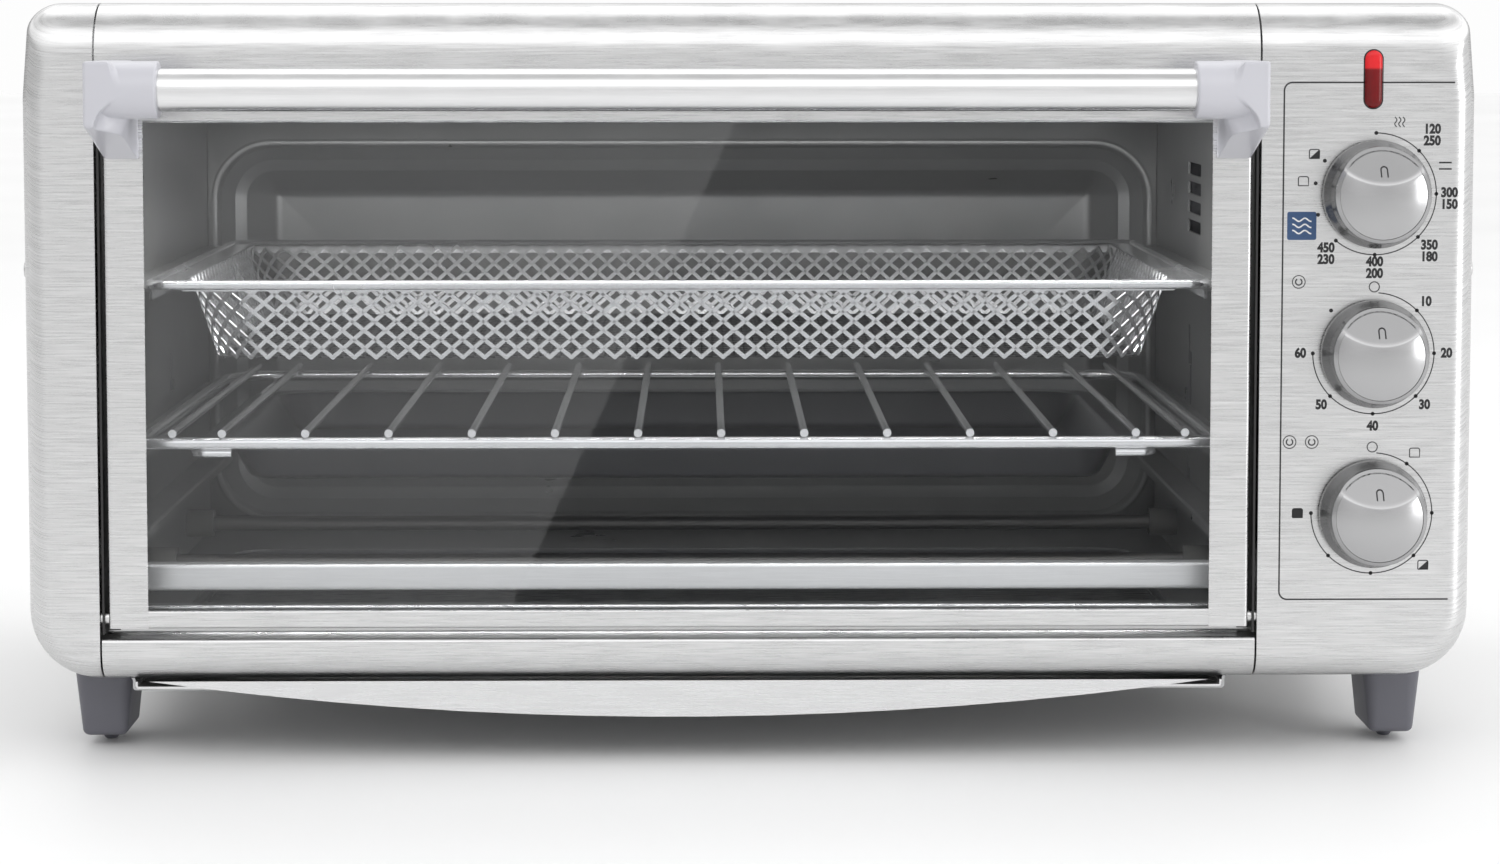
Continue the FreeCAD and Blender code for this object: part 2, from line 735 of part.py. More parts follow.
def feet(block):
    legs = []
    pads = []
    screws = []
    for side, x0, x1, y0, y1 in foot_corners():
        outer, inner = foot_outer_taper, foot_inner_taper
        left, right = (outer, inner) if side < 0 else (inner, outer)
        low = rect(x0 + left, x1 - right, y0 + 3, y1 - 4, 4)
        high = rect(x0, x1, y0, y1, 3)
        body = loft([(low, foot_low_z), (high, foot_high_z)], "XY")
        x, y = (x0 + x1) / 2, (y0 + y1) / 2
        hole = rod((x, y, foot_screw_z), (0, 0, 1), screw_r, 30)
        legs.append(without(body, [block, hole]))
        pads.append(Part.makeCone(pad_low_r, pad_high_r, foot_low_z, V(x, y, 0)))
        shank = rod((x, y, foot_screw_z), (0, 0, 1), screw_r, foot_head_z + 0.1 - foot_screw_z)
        screws.append(joined([shank, rod((x, y, foot_head_z), (0, 0, 1), foot_head_r, 2.2)]))
    save("feet", *legs)
    save("foot_pads", *pads)
    save("foot_screws", *screws)


def cover_screws():
    """One size of pan-headed screw holds the end panels' sides and the rear cover."""
    places = [(place, (side, 0, 0)) for side in (-1, 1) for place in side_screw_places(side)]
    places += [((x, rear_y, z), (0, 1, 0)) for x, z in cover_screw_places()]
    outline = [(0, 0, 0), (screw_head_r, 0, 0), (screw_head_r - 0.4, 1.2, 0.6), (0, 1.2, 0)]
    screws = []
    for place, axis in places:
        shank = rod(place, [-a for a in axis], screw_r, screw_length)
        screws.append(joined([turned(outline, place, axis), shank]))
    save("cover_screws", *screws)


# ---- Door ----


def trim_left():
    """Folded steel edge that wraps the glass, open at its foot for the hinge block."""
    back_y = glass_front_y + glass_thick + sheet
    trim_y = glass_front_y - sheet
    path = [(door_left + trim_back_width, back_y, 0), (door_left, back_y, small_bend)]
    path += [(door_left, trim_y, edge_bend), (door_left + trim_width, trim_y, 0)]
    trim = folded(path, sheet, "XY", door_low_z, door_high_z)
    notch = box(door_left + sheet, door_left + 20, glass_front_y, jamb_y, 50, rail_top_z)
    pin_hole = rod((door_left - 1, hinge_y, hinge_z), (1, 0, 0), pin_r + 0.4, 5)
    return without(trim, [notch, pin_hole] + handle_holes())


def handle_holes():
    return [rod((door_left + handle_screw_inset, front_y - 8, handle_screw_z), (0, 1, 0),
                handle_screw_r, 18)]


def door():
    x0, x1 = door_left + trim_width, door_right - trim_width
    mid = (door_left + door_right) / 2
    trim = trim_left()
    save("door_trims", trim, mirrored(trim, mid))
    drill = handle_holes()
    inset = sheet + glass_gap
    glass = box(door_left + inset, door_right - inset, glass_front_y, glass_front_y + glass_thick,
                rail_top_z, door_high_z - glass_gap)
    save("door_glass", without(glass, drill + [mirrored(hole, mid) for hole in drill]))
    low_rail = rect(front_y, hinge_block_y, door_low_z, rail_top_z, 1.0)
    back_y = glass_front_y + glass_thick + rail_thick
    rail_z = door_high_z + 0.3
    path = [(back_y, rail_back_low_z, 0), (back_y, rail_z, 1.0)]
    path += [(front_y, rail_z, 1.0), (front_y, rail_low_z, 0)]
    high_rail = folded(path, rail_thick, "YZ", x0, x1)
    save("door_rails", prism(low_rail, "YZ", x0, x1), high_rail)
    block = box(door_left + sheet, x0, glass_front_y, hinge_block_y, door_low_z, rail_top_z)
    block = block.cut(rod((door_left - 1, hinge_y, hinge_z), (1, 0, 0), pin_r + running_gap, 14))
    save("hinge_blocks", block, mirrored(block, mid))
    hinge(mid)
    handle(mid)


def hinge(mid):
    """Shouldered pins, each with the balance spring's coil on its thin outer end."""
    shoulder_x = cavity_left - 2
    pin = rod((shoulder_x, hinge_y, hinge_z), (1, 0, 0), pin_r, 14)
    neck = rod((shoulder_x - 6, hinge_y, hinge_z), (1, 0, 0), pin_neck_r, 6)
    whole = joined([pin, neck])
    save("hinge_pins", whole, mirrored(whole, mid))
    coil = rod((shoulder_x - 5.7, hinge_y, hinge_z), (1, 0, 0), spring_r, 5.5).cut(neck)
    save("hinge_springs", coil, mirrored(coil, mid))


def handle(mid):
    bar_start = bracket_inner - 8
    save("handle_bar", rod((bar_start, bar_y, bar_z), (1, 0, 0), bar_r, 2 * (mid - bar_start)))
    nose_y = bar_y - boss_r
    crest = bar_z + boss_r
    trim_y = glass_front_y - sheet
    back_y = front_y - 1.4
    side = [(trim_y, bracket_foot_z, 0), (trim_y, door_high_z - 0.5, 0), (back_y, door_high_z + 0.7, 0)]
    side += [(back_y, crest, 3), (nose_y, crest, boss_r - 0.1), (nose_y, bracket_nose_z, 5)]
    blade = prism(side, "YZ", blade_outer, blade_inner)
    boss = rod((blade_inner - 1, bar_y, bar_z), (1, 0, 0), boss_r, bracket_inner - blade_inner + 1)
    bore = rod((bar_start, bar_y, bar_z), (1, 0, 0), bar_r, 20)
    bracket = without(joined([blade, boss]), [bore] + handle_holes())
    save("handle_bracket_left", bracket)
    save("handle_bracket_right", mirrored(bracket, mid))
    x = door_left + handle_screw_inset
    head = rod((x, glass_front_y + glass_thick + sheet, handle_screw_z), (0, 1, 0), handle_head_r, 2)
    shank = rod((x, front_y - 6, handle_screw_z), (0, 1, 0), handle_screw_r, 13)
    screw = joined([head, shank])
    save("handle_screws", screw, mirrored(screw, mid))


# ---- Racks, pan, basket and tray ----


def wire_rack():
    left, right = cavity_left + rack_inset, cavity_right - rack_inset
    near, far = rack_y
    z = rack_rail_z
    ends = near + rack_rail_r + 0.2
    rim = [(left, ends, z), (left, far, z), (right, far, z), (right, ends, z)]
    save("rack_rim", wire_rod(rim, rack_rail_r, rack_corner))
    save("rack_front_rail", rod((left - rack_rail_r, near, z), (1, 0, 0), rack_rail_r,
                                right - left + 2 * rack_rail_r))
    middle = (wire_count - 1) / 2
    places = [cavity_mid + (i - middle) * wire_pitch for i in range(wire_count)]
    places += [cavity_mid - outer_wire_offset, cavity_mid + outer_wire_offset]
    length = far - near + 2 * wire_overhang
    wires = [
        rod((x, near - wire_overhang, rack_wire_z), (0, 1, 0), rack_wire_r, length) for x in places
    ]
    low = z - rack_rail_r - hanger_r
    leg = pan_mid - pan_half + 2.5
    hanger = wire_rod([(leg + hanger_reach, near, low), (leg, near, low), (leg, far, low)],
                      hanger_r, 5.0)
    save("rack_wires", *wires, hanger, mirrored(hanger, pan_mid))


def pan_contour(inset_x, inset_y, corner):
    x0, x1 = pan_mid - pan_half + inset_x, pan_mid + pan_half - inset_x
    return rect(x0, x1, pan_y[0] + inset_y, pan_y[1] - inset_y, corner)


def baking_pan():
    top = rack_rail_z - rack_rail_r + pan_sheet
    thin = pan_sheet / 2
    inner = pan_flange + pan_sheet
    floor_x, floor_y = pan_floor_inset
    mouth = pan_contour(pan_flange, pan_flange, pan_mouth_corner)
    deep = pan_contour(floor_x, floor_y, pan_floor_corner)
    inner_mouth = pan_contour(inner, inner, pan_mouth_corner - pan_sheet)
    inner_deep = pan_contour(floor_x + thin, floor_y + thin, pan_floor_corner - thin)
    flange = prism(pan_contour(0, 0, pan_corner), "XY", top - pan_sheet, top)
    dish = loft([(deep, pan_floor_z), (mouth, top)], "XY")
    hollow = loft([(inner_deep, pan_floor_z + pan_sheet), (inner_mouth, top + 0.05)], "XY")
    save("baking_pan", joined([flange, dish]).cut(hollow))


def basket():
    x0, x1 = cavity_mid - basket_half + basket_rim_r, cavity_mid + basket_half - basket_rim_r
    y0, y1 = basket_y[0] + basket_rim_r, basket_y[1] - basket_rim_r
    z = basket_rim_z
    corners = [(x0, y0, z), (x1, y0, z), (x1, y1, z), (x0, y1, z)]
    rim = wire_rod(corners, basket_rim_r, basket_corner, True)
    half = basket_sheet / 2
    inset = basket_flange
    outer = rect(x0, x1, y0, y1, basket_corner)
    inner = rect(x0 + inset, x1 - inset, y0 + inset, y1 - inset, basket_inner_corner)
    flange = prism(outer, "XY", z - half, z + half).cut(prism(inner, "XY", z - 2, z + 2))
    save("basket_rim", joined([flange, rim]))
    wall = basket_inner_corner - 1
    floor = basket_floor_half
    low_y, high_y = y0 + basket_floor_inset, y1 - basket_floor_inset
    deep = rect(cavity_mid - floor, cavity_mid + floor, low_y, high_y, basket_inner_corner)
    inner_deep = rect(cavity_mid - floor + 1, cavity_mid + floor - 1, low_y + 1, high_y - 1, wall)
    inner_top = rect(x0 + inset + 1, x1 - inset - 1, y0 + inset + 1, y1 - inset - 1, wall)
    shell = loft([(deep, basket_floor_z), (inner, z - half)], "XY")
    hollow = loft([(inner_deep, basket_floor_z + basket_sheet), (inner_top, z - half + 0.1)], "XY")
    save("basket_mesh", shell.cut(hollow))


def crumb_tray():
    """Shallow tray under the cavity, with a bowed lip that hangs below the sill."""
    half = channel_half - tray_gap
    x0, x1 = cavity_mid - half, cavity_mid + half
    near, far = tray_y
    path = [(x0, tray_high_z, 0), (x0, tray_low_z, small_bend)]
    path += [(x1, tray_low_z, small_bend), (x1, tray_high_z, 0)]
    plate = folded(path, tray_sheet, "XZ", near, far)
    stop = box(x0, x1, far - tray_sheet, far, tray_low_z, tray_high_z)
    left, right = (V(cavity_mid + side * lip_half, near, lip_top_z) for side in (-1, 1))
    bow = Part.Arc(left, V(cavity_mid, near, lip_low_z), right).toShape()
    lip = Part.Face(Part.Wire([bow, Part.LineSegment(right, left).toShape()]))
    save("crumb_tray", joined([plate, stop, lip.extrude(V(0, -sheet, 0))]))


def main():
    os.makedirs("parts", exist_ok=True)
    block = body_block(0)
    shell = block.cut(body_block(sheet))
    end_panels(shell)
    top_cover(shell)
    front_header()
    front_sill()
    door_jambs()
    base_plate()
    rear_cover()
    cavity_walls()
    cavity_top()
    cavity_floor()
    cavity_back()
    rack_guides()
    element_guard()
    heating_elements()
    fan()
    controls()
    timer_bell()
    indicator()
    electrics()
    feet(block)
    cover_screws()
    door()
    wire_rack()
    baking_pan()
    basket()
    crumb_tray()


main()
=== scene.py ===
import json
import math
import bpy
import bmesh
import numpy as np
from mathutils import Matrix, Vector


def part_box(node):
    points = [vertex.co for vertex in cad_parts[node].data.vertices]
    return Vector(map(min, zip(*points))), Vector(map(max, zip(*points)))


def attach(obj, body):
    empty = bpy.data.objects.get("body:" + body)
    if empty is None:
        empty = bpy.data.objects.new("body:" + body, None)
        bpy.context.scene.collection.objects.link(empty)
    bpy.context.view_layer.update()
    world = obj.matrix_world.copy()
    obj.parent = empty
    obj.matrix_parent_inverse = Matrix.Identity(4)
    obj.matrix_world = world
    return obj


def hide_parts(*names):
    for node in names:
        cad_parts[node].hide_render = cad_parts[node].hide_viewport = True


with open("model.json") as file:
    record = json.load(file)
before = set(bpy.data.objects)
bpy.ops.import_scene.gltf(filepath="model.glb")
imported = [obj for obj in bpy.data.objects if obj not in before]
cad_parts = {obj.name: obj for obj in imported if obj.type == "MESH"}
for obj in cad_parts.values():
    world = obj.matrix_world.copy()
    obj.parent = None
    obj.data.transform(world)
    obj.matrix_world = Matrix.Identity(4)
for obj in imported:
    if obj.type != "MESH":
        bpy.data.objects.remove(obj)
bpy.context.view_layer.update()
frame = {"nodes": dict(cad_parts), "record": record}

nodes = frame["nodes"]
mm = 0.001
tau = 2 * math.pi
print("frame loaded,", len(nodes), "parts")


def span(node):
    # lowest corner, highest corner, middle and half size of a part, as arrays
    low, high = (np.array(corner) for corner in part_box(node))
    return low, high, (low + high) / 2, (high - low) / 2


def middle(node):
    return span(node)[2]


def gridFaces(rows, columns, wrapRows=False, wrapColumns=False):
    # quads of a grid: each cell joins a row and the next one, a column and the next one
    r = np.arange(rows if wrapRows else rows - 1)
    c = np.arange(columns if wrapColumns else columns - 1)
    r, c = np.meshgrid(r, c, indexing="ij")
    r2, c2 = (r + 1) % rows, (c + 1) % columns
    quads = np.stack([r * columns + c, r * columns + c2, r2 * columns + c2, r2 * columns + c], -1)
    return quads.reshape(-1, 4).tolist()


def placed(name, data):
    # an object at the origin, linked to the scene
    piece = bpy.data.objects.new(name, data)
    bpy.context.scene.collection.objects.link(piece)
    return piece


def meshOf(name, points, faces):
    mesh = bpy.data.meshes.new(name)
    mesh.from_pydata(np.asarray(points, float).reshape(-1, 3).tolist(), [], faces)
    return mesh


def pointsOf(mesh):
    co = np.empty(len(mesh.vertices) * 3)
    mesh.vertices.foreach_get("co", co)
    return co.reshape(-1, 3)


def smooth(mesh, sharpAngle=None):
    # smooth shading, with edges over sharpAngle kept crisp
    mesh.polygons.foreach_set("use_smooth", np.ones(len(mesh.polygons), bool))
    if sharpAngle is not None:
        mesh.set_sharp_from_angle(angle=math.radians(sharpAngle))


def thicken(piece, thickness, offset):
    sheet = piece.modifiers.new("sheet", "SOLIDIFY")
    sheet.thickness = thickness
    sheet.offset = offset
    return sheet


def turnOutward(mesh, merge=None):
    # doubles nearer than merge become one, and the faces are turned outwards
    work = bmesh.new()
    work.from_mesh(mesh)
    if merge is not None:
        bmesh.ops.remove_doubles(work, verts=work.verts, dist=merge)
    bmesh.ops.recalc_face_normals(work, faces=work.faces)
    work.to_mesh(mesh)
    work.free()


def settledMesh(piece):
    # a mesh of the object with its modifiers or its text applied
    bpy.context.view_layer.update()
    return bpy.data.meshes.new_from_object(piece.evaluated_get(bpy.context.evaluated_depsgraph_get()))


def makePiece(name, points, faces, slot, body, node=None, sharpAngle=40, outward=True, material=None):
    # one mesh object at the origin that rides a body and stands for a node, in its slot's finish unless
    # a material is given
    mesh = meshOf(name, points, faces)
    mesh.validate()
    if outward:
        turnOutward(mesh, 0.001 * mm)
    smooth(mesh, sharpAngle)
    mesh.materials.append(material or finishes[slot])
    piece = placed(name, mesh)
    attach(piece, body)
    if node:
        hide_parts(node)
    return piece


def roundedProfile(corners, steps=6):
    # a polyline through (a, b, radius) corners, where each corner is a tangent arc of that radius
    pts = np.array([c[:2] for c in corners], float)
    out = [pts[:1]]
    for i in range(1, len(corners) - 1):
        radius = corners[i][2]
        toPrev = pts[i - 1] - pts[i]
        toNext = pts[i + 1] - pts[i]
        toPrev, toNext = toPrev / np.linalg.norm(toPrev), toNext / np.linalg.norm(toNext)
        half = math.acos(np.clip(toPrev @ toNext, -1, 1)) / 2
        if radius <= 0 or half > math.pi / 2 - 1e-3:
            out.append(pts[i:i + 1])
            continue
        reach = radius / math.tan(half)
        inward = (toPrev + toNext) / np.linalg.norm(toPrev + toNext)
        centre = pts[i] + inward * radius / math.sin(half)
        a = pts[i] + toPrev * reach - centre
        b = pts[i] + toNext * reach - centre
        t = np.linspace(0, 1, steps + 1)[:, None]
        opening = math.pi - 2 * half
        arc = (np.sin((1 - t) * opening) * a + np.sin(t * opening) * b) / math.sin(opening)
        out.append(centre + arc)
    out.append(pts[-1:])
    return np.vstack(out)


def roundedLoop(halfU, halfV, radius, steps=10):
    # points round a rectangle whose corners are quarter circles: corner centre plus radius times (cos, sin)
    halfU, halfV, radius = (np.asarray(a, float)[..., None] for a in (halfU, halfV, radius))
    quarter = np.linspace(0, math.pi / 2, steps + 1)
    angle = np.concatenate([quarter + k * math.pi / 2 for k in range(4)])
    signU = np.repeat([1, -1, -1, 1], steps + 1)
    signV = np.repeat([1, 1, -1, -1], steps + 1)
    u = signU * (halfU - radius) + radius * np.cos(angle)
    v = signV * (halfV - radius) + radius * np.sin(angle)
    return u, v


def dishPoints(half, radius, profile, steps=10, smallest=0.4 * mm):
    # profile (inset, height) carried round a rounded rectangle: every row is the rim drawn in by its inset
    inset, height = profile[:, 0], profile[:, 1]
    u, v = roundedLoop(half[0] - inset, half[1] - inset, np.maximum(radius - inset, smallest), steps)
    return u, v, np.broadcast_to(height[:, None], u.shape)


def dishFaces(rows, columns):
    # the carried profile's quads, with one flat face closing the first row and one the last
    faces = gridFaces(rows, columns, wrapColumns=True)
    faces.append(list(range(columns))[::-1])
    faces.append([(rows - 1) * columns + i for i in range(columns)])
    return faces


def newMaterial(name):
    material = bpy.data.materials.new(name)
    material.use_nodes = True
    tree = material.node_tree
    return material, tree, tree.nodes["Principled BSDF"]


def feed(tree, socket, value):
    # another node's output is linked to the socket, and a number or a colour is set on it
    if isinstance(value, bpy.types.NodeSocket):
        tree.links.new(value, socket)
    elif isinstance(value, tuple):
        socket.default_value = (*value[:3], 1)[:len(socket.default_value)]
    else:
        socket.default_value = value


def addNode(tree, kind, **settings):
    node = tree.nodes.new(kind)
    for key, value in settings.items():
        if key in node.inputs:
            feed(tree, node.inputs[key], value)
        else:
            setattr(node, key, value)
    return node


def coordinate(tree, which, axis):
    # one axis of the object's coordinates or of its normal
    place = addNode(tree, "ShaderNodeTexCoord").outputs[which]
    return addNode(tree, "ShaderNodeSeparateXYZ", Vector=place).outputs[axis]


def calc(tree, operation, *values):
    node = addNode(tree, "ShaderNodeMath", operation=operation)
    for socket, value in zip(node.inputs, values):
        feed(tree, socket, value)
    return node.outputs[0]


def noise(tree, scale, detail=3.0, rough=0.55, source=None):
    # noise over object coordinates stretched by scale, so that it can become grain along one way
    if source is None:
        source = addNode(tree, "ShaderNodeTexCoord").outputs["Object"]
    stretch = scale if isinstance(scale, tuple) else (scale,) * 3
    place = addNode(tree, "ShaderNodeMapping", Vector=source, Scale=stretch).outputs["Vector"]
    grain = addNode(tree, "ShaderNodeTexNoise", Vector=place, Scale=1.0, Detail=detail, Roughness=rough)
    return grain.outputs["Fac"]


def ramp(tree, fac, *stops):
    # value or colour stops along a noise or a coordinate
    node = addNode(tree, "ShaderNodeValToRGB", Fac=fac)
    elements = node.color_ramp.elements
    while len(elements) < len(stops):
        elements.new(0.5)
    for element, (place, value) in zip(elements, stops):
        element.position = place
        element.color = (*value[:3], 1) if isinstance(value, (tuple, list)) else (value, value, value, 1)
    return node.outputs["Color"]


def blend(tree, kind, a, b, fac=1.0):
    node = addNode(tree, "ShaderNodeMix", data_type="RGBA", blend_type=kind)
    for index, value in ((0, fac), (6, a), (7, b)):        # the node's factor and its two colours
        feed(tree, node.inputs[index], value)
    return node.outputs[2]


def easedStep(tree, value, start, end, low=0.0, high=1.0):
    # low before start, high past end, and a smooth S between them
    node = addNode(tree, "ShaderNodeMapRange", interpolation_type="SMOOTHSTEP", Value=value)
    for key, number in (("From Min", start), ("From Max", end), ("To Min", low), ("To Max", high)):
        node.inputs[key].default_value = number
    return node.outputs["Result"]


def shaded(tone, share):
    return tuple(t * share for t in tone)


def coat(tree, shader, colour, rough, metallic=0.0):
    feed(tree, shader.inputs["Base Color"], colour)
    feed(tree, shader.inputs["Roughness"], rough)
    shader.inputs["Metallic"].default_value = metallic


def bump(tree, shader, height, strength, distance):
    node = addNode(tree, "ShaderNodeBump", Strength=strength, Distance=distance, Height=height)
    feed(tree, shader.inputs["Normal"], node.outputs["Normal"])


def brushedWay(tree):
    # grain runs along X on faces that look forward or up, and along Y on the end panels' sides
    x, y, z = (coordinate(tree, "Object", axis) for axis in "XYZ")
    sideways = calc(tree, "GREATER_THAN", calc(tree, "ABSOLUTE", coordinate(tree, "Normal", "X")), 0.75)
    join = addNode(tree, "ShaderNodeCombineXYZ")
    for axis, front, side in (("X", x, y), ("Z", calc(tree, "SUBTRACT", z, y), z)):
        choose = addNode(tree, "ShaderNodeMix", data_type="FLOAT")
        for index, value in ((0, sideways), (2, front), (3, side)):
            tree.links.new(value, choose.inputs[index])
        tree.links.new(choose.outputs[0], join.inputs[axis])
    return join.outputs[0]


def brushedSteel(name, tone, rough, across=1500, contrast=0.16, depth=0.10, metallic=1.0):
    # satin sheet: fine drawn lines in colour, gloss and height, and broad slow bands under them
    material, tree, shader = newMaterial(name)
    along = 42
    way = brushedWay(tree)
    fine = noise(tree, (along, along, across), 4.0, 0.6, way)
    broad = noise(tree, (along, along, across * 0.12), 2.0, 0.5, way)
    lines = ramp(tree, fine, (0.3, shaded(tone, 1 - contrast)), (0.72, shaded(tone, 1 + contrast * 0.4)))
    bands = ramp(tree, broad, (0.3, 0.965), (0.7, 1.0))
    gloss = ramp(tree, fine, (0.3, rough * 0.85), (0.75, rough * 1.25))
    coat(tree, shader, blend(tree, "MULTIPLY", lines, bands), gloss, metallic)
    bump(tree, shader, fine, depth, 0.03 * mm)
    return material


def platedWire(name, tone, rough, metallic=1.0):
    # bright plating: a slow drift of tone and gloss, without stains
    material, tree, shader = newMaterial(name)
    drift = noise(tree, 18, 2.0)
    coat(tree, shader, ramp(tree, drift, (0.3, shaded(tone, 0.95)), (0.7, tone)),
         ramp(tree, drift, (0.3, rough * 0.92), (0.7, rough * 1.08)), metallic)
    return material


def plainMetal(name, tone, rough, grain=60, stain=0.12, metallic=1.0):
    # rolled or plated sheet: cloudy tone, a few warm stains and a faint orange-peel
    material, tree, shader = newMaterial(name)
    dirt = (0.30, 0.24, 0.18)
    cloud = noise(tree, grain, 5.0, 0.6)
    base = ramp(tree, cloud, (0.25, shaded(tone, 0.86)), (0.75, tone))
    patch = ramp(tree, noise(tree, 14), (0.52, 0.0), (0.8, stain))
    coat(tree, shader, blend(tree, "MIX", base, dirt, patch),
         ramp(tree, cloud, (0.3, rough * 0.8), (0.8, rough * 1.3)), metallic)
    bump(tree, shader, noise(tree, grain * 9, 2.0, 0.5), 0.1, 0.06 * mm)
    return material


def mouldedPlastic(name, tone, rough, grain=900, depth=0.2, wear=0.08, coating=0.0):
    # fine spark texture, slow tone drift and slightly shinier rubbed patches
    material, tree, shader = newMaterial(name)
    drift = noise(tree, 22)
    coat(tree, shader, ramp(tree, drift, (0.3, shaded(tone, 1 - wear)), (0.7, tone)),
         ramp(tree, drift, (0.35, rough * 0.85), (0.7, rough * 1.1)))
    shader.inputs["Coat Weight"].default_value = coating
    shader.inputs["Coat Roughness"].default_value = 0.12
    bump(tree, shader, noise(tree, grain, 2.0, 0.5), depth, 0.05 * mm)
    return material


def turnedSilver(name, tone, rough, paintedSideShade):
    # silvered plastic: full tone on the face, with painted shade falling to the given share of it where the
    # surface turns sideways
    material, tree, shader = newMaterial(name)
    forward = calc(tree, "MULTIPLY", coordinate(tree, "Normal", "Y"), -1)
    # painted shade: the tone is multiplied down as the object-space normal turns from facing forward to
    # sideways
    side = ramp(tree, forward, (0.15, paintedSideShade), (0.75, 0.85), (1.0, 1.0))
    drift = noise(tree, 30)
    base = ramp(tree, drift, (0.3, shaded(tone, 0.96)), (0.7, tone))
    coat(tree, shader, blend(tree, "MULTIPLY", base, side),
         ramp(tree, drift, (0.35, rough * 0.9), (0.7, rough * 1.1)), 0.85)
    bump(tree, shader, noise(tree, 1600, 2.0), 0.04, 0.05 * mm)
    return material


def slantedEdge(tree, edge, share):
    # share on the left of a line that leans by edge[1] for each metre up, and nothing on its right, as the
    # mask of the glass's painted reflection
    x, z = coordinate(tree, "Object", "X"), coordinate(tree, "Object", "Z")
    across = calc(tree, "MULTIPLY_ADD", z, -edge[1], x)
    blur = 0.8 * mm
    return easedStep(tree, across, edge[0] - blur, edge[0] + blur, share, 0)


def paneGlass(name, tint, paintedReflectionEdge, paintedReflectionShare):
    # tinted sheet: what is behind it comes straight through, and the gloss grows with the fifth power of how
    # far the sheet turns away, on both faces alike; a painted reflection, a faint white film, lies on one
    # side of a slanted line
    material, tree, shader = newMaterial(name)
    tree.nodes.remove(shader)
    shade = ramp(tree, noise(tree, 5, 2.0), (0.3, shaded(tint, 0.97)), (0.7, tint))
    smear = ramp(tree, noise(tree, (9, 9, 26), 4.0), (0.35, 0.02), (0.8, 0.06))
    clear = addNode(tree, "ShaderNodeBsdfTransparent", Color=shade)
    gloss = addNode(tree, "ShaderNodeBsdfGlossy", Color=(0.95, 0.97, 1.0), Roughness=smear)
    facing = addNode(tree, "ShaderNodeLayerWeight", Blend=0.5).outputs["Facing"]
    share = calc(tree, "MULTIPLY_ADD", calc(tree, "POWER", facing, 5), 0.7, 0.008)
    # painted reflection: a faint white diffuse film mixed in left of the slanted line
    paintedReflectionWhite = addNode(tree, "ShaderNodeBsdfDiffuse", Color=(0.9, 0.9, 0.9))
    mix, paintedReflection = (addNode(tree, "ShaderNodeMixShader") for _ in range(2))
    for node, inputs in ((mix, (share, clear.outputs[0], gloss.outputs[0])),
                         (paintedReflection, (slantedEdge(tree, paintedReflectionEdge, paintedReflectionShare), mix.outputs[0], paintedReflectionWhite.outputs[0]))):
        for socket, value in zip(node.inputs, inputs):
            tree.links.new(value, socket)
    tree.links.new(paintedReflection.outputs[0], tree.nodes["Material Output"].inputs["Surface"])
    return material


def redLens(name, split):
    # deep clear red, with painted light making it brighter above split where the lamp sits behind it
    material, tree, shader = newMaterial(name)
    core = noise(tree, (160, 160, 90))
    deep = ramp(tree, core, (0.3, (0.10, 0.001, 0.002)), (0.75, (0.20, 0.002, 0.004)))
    # painted light: the brighter red used above split
    lit = ramp(tree, core, (0.3, (0.55, 0.010, 0.014)), (0.75, (0.72, 0.02, 0.025)))
    blur = 0.6 * mm
    above = easedStep(tree, coordinate(tree, "Object", "Z"), split - blur, split + blur)
    coat(tree, shader, blend(tree, "MIX", deep, lit, above), ramp(tree, core, (0.3, 0.10), (0.8, 0.22)))
    shader.inputs["Specular IOR Level"].default_value = 0.3
    bump(tree, shader, core, 0.08, 0.05 * mm)
    return material


def printedInk(name, tone):
    # screen-printed ink with slightly uneven cover
    material, tree, shader = newMaterial(name)
    cover = noise(tree, 1500, 2.0)
    coat(tree, shader, ramp(tree, cover, (0.3, shaded(tone, 0.8)), (0.7, tone)),
         ramp(tree, cover, (0.3, 0.4), (0.7, 0.6)))
    return material


